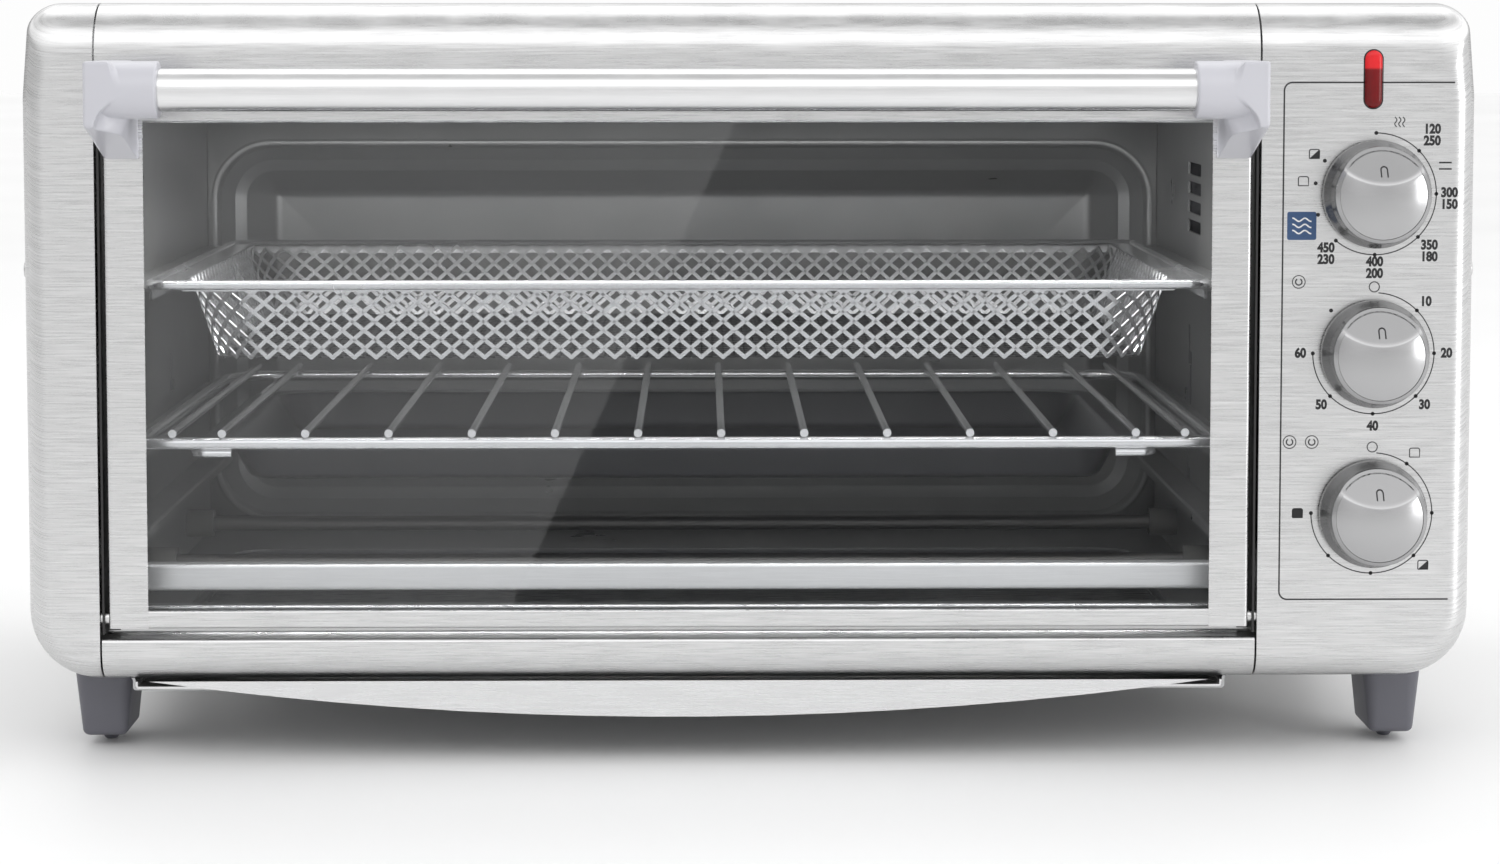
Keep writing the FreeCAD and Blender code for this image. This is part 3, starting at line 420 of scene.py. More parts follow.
finishes = {
    "brushed_panel": brushedSteel("brushedPanelSteel", (0.69, 0.69, 0.692), 0.28, contrast=0.22),
    "handle_steel": brushedSteel("handleSteel", (0.78, 0.78, 0.785), 0.22, 1700, 0.08, 0.06),
    "guard_steel": brushedSteel("guardBarSteel", (0.92, 0.92, 0.92), 0.34, 1600, 0.08, metallic=0.7),
    "tray_steel": brushedSteel("traySteel", (0.74, 0.74, 0.745), 0.26, contrast=0.1),
    "zinc_sheet": plainMetal("zincSheet", (0.47, 0.475, 0.48), 0.38, 90),
    "cavity_steel": plainMetal("cavitySteel", (0.44, 0.44, 0.435), 0.34, 30, 0.08, 0.5),
    "element_sheath": plainMetal("elementSheath", (0.30, 0.29, 0.28), 0.45, 220, 0.5),
    "ceramic": mouldedPlastic("ceramicBead", (0.27, 0.265, 0.25), 0.5, wear=0.12),
    "terminal_brass": plainMetal("terminalBrass", (0.72, 0.55, 0.26), 0.3, 200),
    "bracket_plastic": mouldedPlastic("bracketPlastic", (0.52, 0.52, 0.56), 0.34, 900, 0.006, 0.03, 0.12),
    "foot_plastic": mouldedPlastic("footPlastic", (0.115, 0.115, 0.135), 0.42, depth=0.3),
    "pad_rubber": mouldedPlastic("padRubber", (0.03, 0.03, 0.03), 0.8, 1200, 0.5),
    # the knobs' sides are darkened by painted shade
    "knob_silver": turnedSilver("knobSilver", (0.44, 0.44, 0.445), 0.22, 0.20),
    "lens_red": redLens("lensRed", 262.5 * mm),
    "shaft_steel": plainMetal("shaftSteel", (0.66, 0.66, 0.66), 0.25, 240),
    "switch_plastic": mouldedPlastic("switchPlastic", (0.035, 0.035, 0.04), 0.5),
    "motor_steel": plainMetal("motorSteel", (0.30, 0.30, 0.32), 0.4, 120),
    # painted shade: the aluminium fan is darkened so that the slots in front of it read black
    "fan_aluminium": plainMetal("fanAluminiumPaintedShade", (0.10, 0.10, 0.10), 0.45, 150, metallic=0.6),
    "bell_steel": plainMetal("bellSteel", (0.80, 0.80, 0.80), 0.12, 80),
    "gland_plastic": mouldedPlastic("glandPlastic", (0.02, 0.02, 0.02), 0.5),
    "rack_chrome": platedWire("rackChrome", (0.95, 0.95, 0.955), 0.20, 0.85),
    "basket_steel": platedWire("basketSteel", (0.86, 0.86, 0.865), 0.26, 0.85),
    "pan_enamel": platedWire("panEnamel", (0.085, 0.085, 0.088), 0.30, 0.3),
    "screw_steel": plainMetal("screwSteel", (0.62, 0.62, 0.62), 0.3, 300),
    # the door glass carries a painted reflection left of a line at x = -117.9 mm leaning 0.463 per metre up
    "door_glass": paneGlass("doorGlass", (0.90, 0.905, 0.91), (-117.9 * mm, 0.463), 0.022),
    "lamp_glass": mouldedPlastic("lampGlass", (0.75, 0.55, 0.45), 0.15, coating=0.5),
}
# painted shade: a darker steel for the basket floor's strands, which lie in shade
basketFloorShadePaint = platedWire("basketShadeSteel", (0.20, 0.20, 0.20), 0.35)
# painted shadow: near-black paint for the zinc door jambs, standing in for the shadow in the gap round the
# door
gapShadowPaint = mouldedPlastic("gapShadowPaint", (0.02, 0.02, 0.02), 0.6)
blackInk = printedInk("blackInk", (0.010, 0.010, 0.012))
blueInk = printedInk("blueInk", (0.035, 0.085, 0.20))
whiteInk = printedInk("whiteInk", (0.85, 0.85, 0.86))

for part in frame["record"]["subparts"]:
    mesh = nodes[part["node"]].data
    mesh.materials.clear()
    # the door jambs take the painted-shadow black instead of their slot's finish
    mesh.materials.append(gapShadowPaint if part["node"] == "door_jambs" else finishes[part["material_slot"]])
print("materials made and given to every part")


panelLook = {
    "lowerCorner": 26.5 * mm,
    "upperCorner": 11.5 * mm,
    "shoulder": 252 * mm,
    "lean": 2.7 * mm,
    "bottomRoll": 10.7 * mm,
    "sideRoll": 9.0 * mm,
    "topRoll": 19.0 * mm,
    "innerLower": 16.7 * mm,
    "innerUpper": 9.0 * mm,
    "shoulderBend": 40 * mm,
    "shoulderDrop": 4 * mm,
    "sheet": 1.0 * mm,
    "cornerSteps": 10,
    "rollSteps": 12,
    "ventHalf": (1.5 * mm, 20 * mm),
    "ventCorner": 1.4 * mm,
    "ventFirst": 61.5 * mm,
    "ventPitch": 8 * mm,
    "ventCount": 8,
    "ventMiddles": (110 * mm, 190 * mm),
    "shaftHole": 4.6 * mm,
    "lensGap": 0.15 * mm,
    "cutReach": 4 * mm,
    "cutAhead": 3 * mm,
}


def prismCutter(u, v, axis, start, end):
    # a closed outline (u, v) drawn out along X or Y, as the tool for a boolean cut
    ends = []
    for w in (start, end):
        w = np.full(len(u), w)
        ends.append(np.stack([w, u, v] if axis == "X" else [u, w, v], -1))
    mesh = meshOf("cutter", np.concatenate(ends), dishFaces(2, len(u)))
    turnOutward(mesh)
    return placed("cutter", mesh)


def panelCutters(side, half, front, look):
    # rows of round-ended vents in the side, and on the right the shafts' round holes and the lens's slot
    reach = look["cutReach"]
    tools = []
    for middleZ in look["ventMiddles"][:2 if side > 0 else 1]:
        for k in range(look["ventCount"]):
            u, v = roundedLoop(*look["ventHalf"], look["ventCorner"], 4)
            tools.append(prismCutter(u + look["ventFirst"] + look["ventPitch"] * k, v + middleZ, "X",
                                     side * (half - reach), side * (half + reach)))
    if side < 0:
        return tools
    turn = np.linspace(0, tau, 32, endpoint=False)
    outlines = []
    for knob in ("selector_knob", "timer_knob", "toast_knob"):
        x, z = middle(knob)[[0, 2]]
        outlines.append((x + look["shaftHole"] * np.cos(turn), z + look["shaftHole"] * np.sin(turn)))
    _, _, lens, lensHalf = span("indicator_lens")
    lensHalf = lensHalf + look["lensGap"]
    u, v = roundedLoop(lensHalf[0], lensHalf[2], lensHalf[0] * 0.999, 8)
    outlines.append((u + lens[0], v + lens[2]))
    return tools + [prismCutter(u, v, "Y", front - look["cutAhead"], front + reach) for u, v in outlines]


def makeEndPanel(name, node, side, look):
    # inner loop bounds the flat front, outer loop is the silhouette, and a quarter ellipse joins the two:
    # point = inner + (outer - inner) * sin(a), depth = roll * (1 - cos(a)); then the sheet runs straight back
    low, high, *_ = span(node)
    half = max(abs(low[0]), abs(high[0]))
    bottom, top, front, rear = low[2], high[2], low[1], high[1]
    upper, shoulder = half - look["lean"], look["shoulder"]
    bend, steps = look["shoulderBend"], look["cornerSteps"]
    outer = roundedProfile([(0, bottom, 0), (half, bottom, look["lowerCorner"]), (half, shoulder, bend),
                            (upper, top, look["upperCorner"]), (0, top, 0)], steps)
    inset, rise, drop = look["sideRoll"], look["bottomRoll"], look["topRoll"]
    inner = roundedProfile([(0, bottom + rise, 0), (half - inset, bottom + rise, look["innerLower"]),
                            (half - inset, shoulder - look["shoulderDrop"], bend),
                            (upper - inset, top - drop, look["innerUpper"]), (0, top - drop, 0)], steps)
    ease = np.linspace(0, 1, steps + 1)
    ease = ease * ease * (3 - 2 * ease)
    roll = np.concatenate([[rise], rise + (inset - rise) * ease, np.full(steps + 1, inset),
                           inset + (drop - inset) * ease, [drop]])
    a = np.linspace(0, math.pi / 2, look["rollSteps"] + 1)[:, None]
    flat = inner + (outer - inner) * np.sin(a)[..., None]
    y = front + roll * (1 - np.cos(a))
    rows = np.stack([flat[..., 0], y, flat[..., 1]], -1)
    back = np.stack([outer[:, 0], np.full(len(outer), rear), outer[:, 1]], -1)[None]
    points = np.concatenate([rows, back])
    points[..., 0] *= side
    faces = gridFaces(*points.shape[:2])
    faces.append(list(range(points.shape[1])))
    mesh = meshOf(name, points, faces)
    seam = low[0] if side > 0 else high[0]
    work = bmesh.new()
    work.from_mesh(mesh)
    bmesh.ops.bisect_plane(work, geom=work.verts[:] + work.edges[:] + work.faces[:], plane_co=(seam, 0, 0),
                           plane_no=(side, 0, 0), clear_inner=True)
    bmesh.ops.recalc_face_normals(work, faces=work.faces)
    if max(work.faces, key=lambda f: f.calc_area() * (abs(f.normal.y) > 0.999)).normal.y > 0:
        bmesh.ops.reverse_faces(work, faces=work.faces)
    work.to_mesh(mesh)
    work.free()
    smooth(mesh)
    piece = placed(name, mesh)
    thicken(piece, look["sheet"], -1).use_even_offset = True
    cutters = panelCutters(side, half, front, look)
    for tool in cutters:
        cut = piece.modifiers.new("cut", "BOOLEAN")
        cut.operation, cut.solver, cut.object = "DIFFERENCE", "EXACT", tool
    piece.modifiers.new("even", "WEIGHTED_NORMAL").keep_sharp = True
    piece.data = settledMesh(piece)
    piece.modifiers.clear()
    for tool in cutters:
        bpy.data.objects.remove(tool)
    piece.data.materials.clear()
    piece.data.materials.append(finishes["brushed_panel"])
    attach(piece, "housing")
    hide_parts(node)


makeEndPanel("end_panel_left_shell", "left_end_panel", -1, panelLook)
makeEndPanel("end_panel_right_shell", "right_end_panel", 1, panelLook)
print("end panels drawn")


basketLook = {
    "floorLift": 0.5 * mm,
    "diamondWide": 8.35 * mm,
    "diamondTall": 7.4 * mm,
    "strandWide": 1.6 * mm,
    "floorStrand": 0.8 * mm,
    "strandThick": 0.7 * mm,
    "flange": 11.0 * mm,
    "corner": 31 * mm,
    "lean": (9.7 * mm, 13.0 * mm),
    "rimCorner": 9 * mm,
    "rimThick": 0.45 * mm,
    "lipDrop": 3.2 * mm,
}


def strandBoxes(start, end, normal, wide, thick):
    # a flat bar from start to end for every link: four corners at each end, half the width to each side
    # of the link and half the thickness along the sheet's normal
    along = end - start
    along = along / np.linalg.norm(along, axis=1, keepdims=True)
    side = np.cross(along, normal)
    side = side / np.linalg.norm(side, axis=1, keepdims=True) * wide / 2
    up = normal / np.linalg.norm(normal, axis=1, keepdims=True) * thick / 2
    reach = along * wide * 0.3
    ends = (start - reach, end + reach)
    signs = ((-1, -1), (1, -1), (1, 1), (-1, 1))
    corners = np.stack([p + a * side + b * up for p in ends for a, b in signs], 1)
    base = np.array([[0, 3, 2, 1], [4, 5, 6, 7], [0, 1, 5, 4], [1, 2, 6, 5], [2, 3, 7, 6], [3, 0, 4, 7]])
    faces = (np.arange(len(start))[:, None, None] * 8 + base).reshape(-1, 4)
    return corners.reshape(-1, 3), faces


def latticeLoop(half, straight, perSide, perCorner):
    # even steps along four straights, and quarter ellipses between them: straight's end + radius * (cos, sin)
    a, b = half[0] - straight[0], half[1] - straight[1]
    t = [np.linspace(-1, 1, n, endpoint=False) for n in perSide]
    q = np.linspace(0, math.pi / 2, perCorner, endpoint=False)
    fu, fv = straight
    u = [fu * t[0], fu + a * np.sin(q), np.full(perSide[1], half[0]), fu + a * np.cos(q),
         -fu * t[0], -fu - a * np.sin(q), np.full(perSide[1], -half[0]), -fu - a * np.cos(q)]
    v = [np.full(perSide[0], -half[1]), -fv - b * np.cos(q), fv * t[1], fv + b * np.sin(q),
         np.full(perSide[0], half[1]), fv + b * np.cos(q), -fv * t[1], -fv - b * np.sin(q)]
    return np.stack([np.concatenate(u), np.concatenate(v)], -1)


def makeBasketMesh(look):
    # links of a diamond lattice: node (i, j) exists where i + j is even, and joins (i + 1, j - 1)
    # and (i + 1, j + 1); the wall's nodes slide from the floor's loop out to the rim's
    low, high, centre, half = span("basket_mesh")
    rimZ = high[2]
    floorZ = low[2] + look["floorLift"]
    halfTop = half[:2] - look["strandThick"] / 2
    halfFloor = halfTop - look["lean"]
    straight = halfTop - look["corner"]
    stepU, stepV = look["diamondWide"] / 2, look["diamondTall"] / 2
    perSide = (np.round(straight * 2 / stepU / 2) * 2).astype(int)
    perCorner = int(round(look["corner"] * 0.85 * math.pi / 2 / stepU / 2)) * 2
    rows = int(round((rimZ - floorZ) / stepV))
    top = latticeLoop(halfTop, straight, perSide, perCorner)
    bottom = latticeLoop(halfFloor, straight, perSide, perCorner)
    around = len(top)
    i, j = np.meshgrid(np.arange(around), np.arange(rows + 1), indexing="ij")
    t = (j / rows)[..., None]
    flat = centre[:2] + bottom[i] + (top - bottom)[i] * t
    wall = np.concatenate([flat, floorZ + (rimZ - floorZ) * t], -1)
    a, b = np.meshgrid(np.arange(around), np.arange(rows), indexing="ij")
    rising = ((a + b) % 2 == 0)[..., None]
    after = (a + 1) % around
    first = np.where(rising, wall[a, b], wall[a, b + 1]).reshape(-1, 3)
    second = np.where(rising, wall[after, b + 1], wall[after, b]).reshape(-1, 3)
    along = top[after] - top[a]
    outward = np.stack([along[..., 1], -along[..., 0]], -1).reshape(-1, 2)
    outward = outward / np.linalg.norm(outward, axis=1, keepdims=True)
    normal = np.column_stack([outward, np.full(len(outward), -0.35)])
    wallPts, wallFaces = strandBoxes(first, second, normal, look["strandWide"], look["strandThick"])
    countU, countV = (np.floor(2 * halfFloor / [stepU, stepV]).astype(int) // 2) * 2
    gx = np.linspace(-halfFloor[0], halfFloor[0], countU + 1)
    gy = np.linspace(-halfFloor[1], halfFloor[1], countV + 1)
    a, b = (g.ravel() for g in np.meshgrid(np.arange(countU), np.arange(countV), indexing="ij"))
    rising = (a + b) % 2 == 0
    y0, y1 = np.where(rising, gy[b], gy[b + 1]), np.where(rising, gy[b + 1], gy[b])
    start, end = np.column_stack([gx[a], y0]), np.column_stack([gx[a + 1], y1])
    cornerFloor = halfFloor - straight
    beyond = np.maximum(np.abs((start + end) / 2) - straight, 0) / cornerFloor
    keep = np.hypot(*beyond.T) < 1
    height = np.full((keep.sum(), 1), floorZ)
    start = np.hstack([start[keep] + centre[:2], height])
    end = np.hstack([end[keep] + centre[:2], height])
    up = np.tile([0.0, 0.0, 1.0], (len(start), 1))
    floorPts, floorFaces = strandBoxes(start, end, up, look["floorStrand"], look["strandThick"])
    points = np.vstack([wallPts, floorPts])
    faces = np.vstack([wallFaces, floorFaces + len(wallPts)]).tolist()
    piece = makePiece("basket_diamond_mesh", points, faces, "basket_steel", "air_fry_basket",
                      "basket_mesh", outward=False)
    # the floor's strands take the darker painted-shade steel
    piece.data.materials.append(basketFloorShadePaint)
    isFloor = (np.arange(len(faces)) >= len(wallFaces)).astype(np.int32)
    piece.data.polygons.foreach_set("material_index", isFloor)


def makeBasketRim(look):
    # a flat flange with a rolled outer edge and a turned-down inner lip, carried round as one closed profile
    low, high, centre, half = span("basket_rim")
    half = half[:2]
    roll = (high[2] - low[2]) / 2
    thick, lip = look["rimThick"], look["lipDrop"]
    turn = np.radians(np.linspace(-20, 255, 14))
    rolled = np.column_stack([roll - roll * np.sin(turn), -roll * np.cos(turn)])
    inner = look["flange"] + roll
    tail = [(roll, thick, 0), (inner, thick, 1.6 * mm), (inner + 1.2 * mm, -lip, 0)]
    back = [(inner + 0.4 * mm, -lip, 0), (inner - 0.8 * mm, -thick, 1.0 * mm), (roll * 1.8, -thick, 0)]
    profile = np.vstack([rolled, roundedProfile(tail, 4)[1:], roundedProfile(back, 4)])
    u, v, h = dishPoints(half, look["rimCorner"], profile, 12)
    points = np.stack([centre[0] + u, centre[1] + v, centre[2] + h], -1)
    faces = gridFaces(*u.shape, wrapRows=True, wrapColumns=True)
    makePiece("basket_rolled_rim", points, faces, "basket_steel", "air_fry_basket", "basket_rim", 60)


makeBasketMesh(basketLook)
makeBasketRim(basketLook)
print("air-fry basket woven")


panLook = {"flange": 12.5 * mm, "thick": 0.8 * mm, "corner": 30 * mm, "wallLean": 8.5 * mm}


def makePan(look):
    # rim, flange, leaning wall and floor as one profile, down the inside and back up the outside
    low, high, centre, half = span("baking_pan")
    half = half[:2]
    t, flange, lean = look["thick"], look["flange"], look["wallLean"]
    drop = high[2] - low[2]
    inside = [(half[1] * 0.9, t - drop, 0), (flange + lean, t - drop, 5 * mm), (flange, 0, 2.5 * mm),
              (1.2 * mm, 0, 0.8 * mm), (0, -t * 1.2, 0)]
    outside = [(0, -t * 2.4, 0), (1.4 * mm, -t * 2.4, 0), (1.6 * mm, -t, 0), (flange - t, -t, 1.5 * mm),
               (flange + lean - t, -drop, 6 * mm), (half[1] * 0.9, -drop, 0)]
    profile = np.vstack([roundedProfile(inside, 6), roundedProfile(outside, 6)])
    u, v, h = dishPoints(half, look["corner"], profile, 14)
    points = np.stack([centre[0] + u, centre[1] + v, high[2] + h], -1)
    makePiece("baking_pan_shell", points, dishFaces(*u.shape), "pan_enamel", "wire_rack", "baking_pan", 50)


recessLook = {
    "mouth": (430.6 * mm, 176.4 * mm),
    "mouthLow": 50.4 * mm,
    "corner": 28 * mm,
    "wallCorner": 0.5 * mm,
    "cornerSteps": 14,
    "sheet": 0.9 * mm,
    # inset, depth and radius in millimetres: a raised bead round the mouth, two steps and the flat end
    "steps": ((0, 0, 0), (1.4, -0.9, 0.6), (2.6, -0.9, 0.6), (3.8, 3.0, 1.0), (9.5, 9.5, 2.0),
              (14.5, 12.5, 1.2), (25.5, 34.6, 6.0), (60, 35, 0)),
}


def makeCavityBack(look):
    # the wall's rectangle, then the drawn mouth carried inwards and backwards along a rounded profile
    low, _, wallMid, halfWall = span("cavity_back")
    front = low[1]
    halfMouth = np.array(look["mouth"]) / 2
    mouthMid = np.array([wallMid[0], look["mouthLow"] + halfMouth[1]])
    profile = roundedProfile([(a * mm, b * mm, c * mm) for a, b, c in look["steps"]], 7)
    u, v, depth = dishPoints(halfMouth, look["corner"], profile, look["cornerSteps"])
    edgeU, edgeV = roundedLoop(halfWall[0], halfWall[2], look["wallCorner"], look["cornerSteps"])
    edge = np.stack([wallMid[0] + edgeU, np.full_like(edgeU, front), wallMid[2] + edgeV], -1)[None]
    drawn = np.stack([mouthMid[0] + u, front + depth, mouthMid[1] + v], -1)
    points = np.concatenate([edge, drawn])
    rows, columns = points.shape[:2]
    faces = gridFaces(rows, columns, wrapColumns=True)
    faces.append([(rows - 1) * columns + i for i in range(columns)])
    piece = makePiece("cavity_back_drawn", points, faces, "cavity_steel", "housing", "cavity_back", 50, False)
    thicken(piece, look["sheet"], 1)


scrollLook = {"radius": 35 * mm, "grow": 4 * mm, "gap": 1.2 * mm, "wide": 14 * mm, "sheet": 0.7 * mm,
              "reach": 0.62 * math.pi}


def makeFanScroll(look):
    # sheet scroll round the impeller: radius grows evenly with the turn, carried straight from wall to mouth
    centre = middle("fan_impeller")
    wall = span("cavity_right_wall")[1][0] + look["gap"]
    turn = np.linspace(-look["reach"], look["reach"], 60)
    radius = look["radius"] + look["grow"] * (turn - turn[0]) / (turn[-1] - turn[0])
    y, z = centre[1] + radius * np.cos(turn), centre[2] + radius * np.sin(turn)
    x = np.linspace(wall, wall + look["wide"], 6)[:, None]
    points = np.stack([x + 0 * y, y + 0 * x, z + 0 * x], -1)
    piece = makePiece("fan_scroll_sheet", points, gridFaces(*points.shape[:2]), "motor_steel", "housing",
                      outward=False)
    thicken(piece, look["sheet"], 0)


makePan(panLook)
makeCavityBack(recessLook)
makeFanScroll(scrollLook)
print("baking pan and cavity back drawn")


knobLook = {
    "cap": 18.0 * mm,
    "crown": 45.0 * mm,
    "facetStart": 3.2 * mm,
    "facetRise": 0.5 * mm,
    "facetLean": math.radians(32),
    "soft": 0.16 * mm,
    "lowest": 9 * mm,
    "domeRings": 26,
    "spokes": 192,
    # how far past the cap's and the skirt's edge, height over the panel and radius, in millimetres
    "collar": ((0.2, 11.5, 0), (0.5, 8.4, 1.2)),
    "skirt": ((-0.7, 5.6, 1.4), (0, 3.6, 1.6), (0, 0, 0)),
    "archHalf": (1.2 * mm, 1.9 * mm),
    "archPlace": 9.0 * mm,
    "archWire": 0.26 * mm,
    "archLift": 0.05 * mm,
}


def facetHeight(up, tall, look):
    # the thumb plane: highest at facetStart, and falling evenly away from the shaft
    return tall + look["facetRise"] - (up - look["facetStart"]) * math.tan(look["facetLean"])


def makeKnob(name, node, body, look):
    # height over the panel is the lesser of a domed crown and a tilted thumb plane, softened where they meet;
    # below the cap the turned skirt's profile carries on, and everything is swept round the shaft
    low, high, centre, half = span(node)
    base, tall, skirt = high[1], high[1] - low[1], half[0]
    capR, crownR = look["cap"], look["crown"]
    top = tall - crownR + math.sqrt(crownR ** 2 - capR ** 2)
    corners = [(capR - 1.6 * mm, top + 0.9 * mm, 0), (capR, top - 0.3 * mm, 1.0 * mm)]
    for edge, steps in ((capR, look["collar"]), (skirt, look["skirt"])):
        corners += [(edge + past * mm, rise * mm, bend * mm) for past, rise, bend in steps]
    outer = roundedProfile(corners, 5)
    dome = np.linspace(0.02, 0.94, look["domeRings"]) * capR
    radius = np.concatenate([dome, outer[:, 0]])
    height = np.concatenate([tall - crownR + np.sqrt(crownR ** 2 - dome ** 2), outer[:, 1]])
    turn = np.linspace(0, tau, look["spokes"], endpoint=False)
    r, a = np.meshgrid(radius, turn, indexing="ij")
    h = np.broadcast_to(height[:, None], r.shape)
    up = r * np.cos(a)
    gap = (facetHeight(up, tall, look) - h) / look["soft"]
    softened = h - look["soft"] * np.log1p(np.exp(-np.clip(gap, -40, 40)))
    h = np.where(h > look["lowest"], np.maximum(softened, look["lowest"]), h)
    points = np.stack([centre[0] + r * np.sin(a), base - h, centre[2] + up], -1)
    makePiece(name, points, dishFaces(*r.shape), "knob_silver", body, node, 55)


def makePointer(name, node, body, look):
    # a thin round wire bent to an arch, lying on the thumb plane: path + wire * (cos, sin) across it
    low, high, centre, _ = span(node)
    wire = look["archWire"]
    wide, long = look["archHalf"]
    bend = wide * 0.98
    path = roundedProfile([(-wide, -long, 0), (-wide, long, bend), (wide, long, bend), (wide, -long, 0)], 8)
    ahead = np.gradient(path, axis=0)
    ahead = ahead / np.linalg.norm(ahead, axis=1, keepdims=True)
    section = np.linspace(0, tau, 8, endpoint=False)
    x = path[:, :1] + wire * np.cos(section) * -ahead[:, 1:]
    z = path[:, 1:] + wire * np.cos(section) * ahead[:, :1] + look["archPlace"]
    y = high[1] - facetHeight(z, high[1] - low[1], look) - look["archLift"] - wire * 0.5 * np.sin(section)
    points = np.stack([centre[0] + x, y, centre[2] + z], -1)
    makePiece(name, points, dishFaces(*x.shape), "knob_silver", body, material=blackInk)


for label, knob in (("mode_knob", "selector_knob"), ("bake_knob", "timer_knob"),
                    ("toast_knob", "toast_knob")):
    makeKnob(label + "_shape", knob, label, knobLook)
    makePointer(label + "_shape_pointer", knob, label, knobLook)
print("knobs turned")


bracketLook = {
    "soft": 26,
    "edge": 1.3 * mm,
    # where the arm starts to ease into the boss, in millimetres from its outer end, by direction in degrees
    "neckAngles": (0, 50, 92, 135, 180, 205, 228, 240, 262, 285, 360),
    "neckStarts": (12.0, 9.5, 5.2, 9.0, 11.6, 8.0, 2.6, 3.0, 11.0, 12.5, 12.0),
    "neckSmooth": 12,
    "neckWide": 3.2 * mm,
    "bossRadius": 10.5 * mm,
    "toe": (6 * mm, 25.6 * mm),
    "bevelIn": (3 * mm, 1 * mm),
    "bevelWay": (0.72, 0.694),
    "rays": 360,
    "rings": 150,
}


def makeBracket(name, node, side, look):
    # polar surface round the handle's axis: the reach in each direction is a power mean of the distances to
    # the arm's flat faces, and it eases into the boss's circle towards the bar
    low, high, *_ = span(node)
    axis = middle("handle_bar")[1:]
    rear, front, foot, crest = high[1], low[1], low[2], high[2]
    heel = np.array([rear, foot])
    slope = np.array([front, crest]) + (look["toe"][0], -look["toe"][1]) - heel
    under = np.array([slope[1], -slope[0]])
    under = under / np.linalg.norm(under) * np.sign(-under[1])
    bevel = np.array([rear, crest]) - look["bevelIn"]
    planes = (((1, 0), heel), ((0, 1), (rear, crest)), ((-1, 0), (front, crest)), (under, heel),
              (look["bevelWay"], bevel))
    turn = np.linspace(0, tau, look["rays"], endpoint=False)
    way = np.stack([np.cos(turn), np.sin(turn)], -1)
    power = look["soft"]
    share = sum(np.maximum((way @ np.array(n)) / ((np.array(at) - axis) @ np.array(n)), 0) ** power
                for n, at in planes)
    arm = share ** (-1 / power)
    wide, edge, rings = high[0] - low[0], look["edge"], look["rings"]
    quarter = np.linspace(0, math.pi / 2, 7)
    x = np.concatenate([edge * (1 - np.cos(quarter)), np.linspace(edge * 1.2, wide - edge * 0.6, rings),
                        [wide - 0.2 * mm, wide]])
    shrink = np.concatenate([edge * (1 - np.sin(quarter)), np.zeros(rings), [0.15 * mm, 0.6 * mm]])
    necks = np.interp(np.degrees(turn), look["neckAngles"], look["neckStarts"]) * mm
    blur = range(-look["neckSmooth"], look["neckSmooth"] + 1)
    necks = sum(np.roll(necks, k) for k in blur) / len(blur)
    ease = np.clip((x[:, None] - necks) / look["neckWide"], 0, 1)
    ease = ease * ease * (3 - 2 * ease)
    reach = arm * (1 - ease) + look["bossRadius"] * ease - shrink[:, None]
    px = (low[0] + x if side < 0 else high[0] - x)[:, None] + np.zeros_like(reach)
    points = np.stack([px, axis[0] + reach * way[:, 0], axis[1] + reach * way[:, 1]], -1)
    makePiece(name, points, dishFaces(*reach.shape), "bracket_plastic", "door", node, 60)


makeBracket("handle_bracket_left_moulding", "handle_bracket_left", -1, bracketLook)
makeBracket("handle_bracket_right_moulding", "handle_bracket_right", 1, bracketLook)


def makeLens():
    # a pill whose height falls off as a quarter ellipse towards its outline
    low, high, centre, half = span("indicator_lens")
    t = np.linspace(0, math.pi / 2, 9)
    inset = half[0] * (1 - np.cos(t)) * 0.97
    rise = low[1] + 1.1 * mm * (1 - np.sin(t))
    inset = np.concatenate([[0], inset])
    rise = np.concatenate([[high[1]], rise])
    u, v = roundedLoop(half[0] - inset, half[2] - inset, np.maximum(half[0] - inset, 0.02 * mm) * 0.999, 8)
    points = np.stack([centre[0] + u, np.broadcast_to(rise[:, None], u.shape), centre[2] + v], -1)
    makePiece("indicator_lens_dome", points, dishFaces(*u.shape), "lens_red", "housing", "indicator_lens")


makeLens()
print("handle brackets and lens moulded")


footLook = {
    "corner": 4.0 * mm,
    "toe": 2.4 * mm,
    "lean": 3.2 * mm,
    "grow": 2.0 * mm,
    "tip": 5.2 * mm,
    "tipEnd": 2.2 * mm,
    "tipTall": 0.6 * mm,
    "tipBend": 0.8 * mm,
}


def makeFeet(look):
    # each leg is a rounded rectangle that draws in towards its toe along a rounded profile
    co = pointsOf(nodes["feet"].data)
    for label, sideX, sideY in (("front_left", -1, -1), ("front_right", 1, -1), ("rear_left", -1, 1),
                                ("rear_right", 1, 1)):
        own = co[(np.sign(co[:, 0]) == sideX) & (np.sign(co[:, 1]) == sideY)]
        low, high = own.min(0), own.max(0)
        centre = (low + high) / 2
        half = (high[:2] - low[:2]) / 2 + (look["grow"], 0)
        centre[0] += sideX * look["grow"]
        profile = roundedProfile([(0, high[2] - low[2], 0), (look["lean"], 0, look["toe"]),
                                  (half[0] * 0.7, 0, 0)], 8)
        u, v, h = dishPoints(half, look["corner"] + half[0] * 0.2, profile, 8)
        points = np.stack([centre[0] + u, centre[1] + v, low[2] + h], -1)
        makePiece("foot_" + label, points, dishFaces(*u.shape), "foot_plastic", "housing", "feet")
        # the glide under it is a blunt cone: radius falls evenly from tip to tipEnd down to the floor
        tipR = look["tip"]
        tip = roundedProfile([(0, low[2] + look["tipTall"], 0), (tipR - look["tipEnd"], 0, look["tipBend"]),
                              (tipR * 0.9, 0, 0)], 4)
        turn = np.linspace(0, tau, 32, endpoint=False)
        reach, rise = tipR - tip[:, :1], tip[:, 1:] + 0 * turn
        cone = np.stack([centre[0] + reach * np.cos(turn), centre[1] + reach * np.sin(turn), rise], -1)
        makePiece("foot_glide_" + label, cone, dishFaces(*rise.shape), "foot_plastic", "housing", "foot_pads")


makeFeet(footLook)
print("feet moulded")


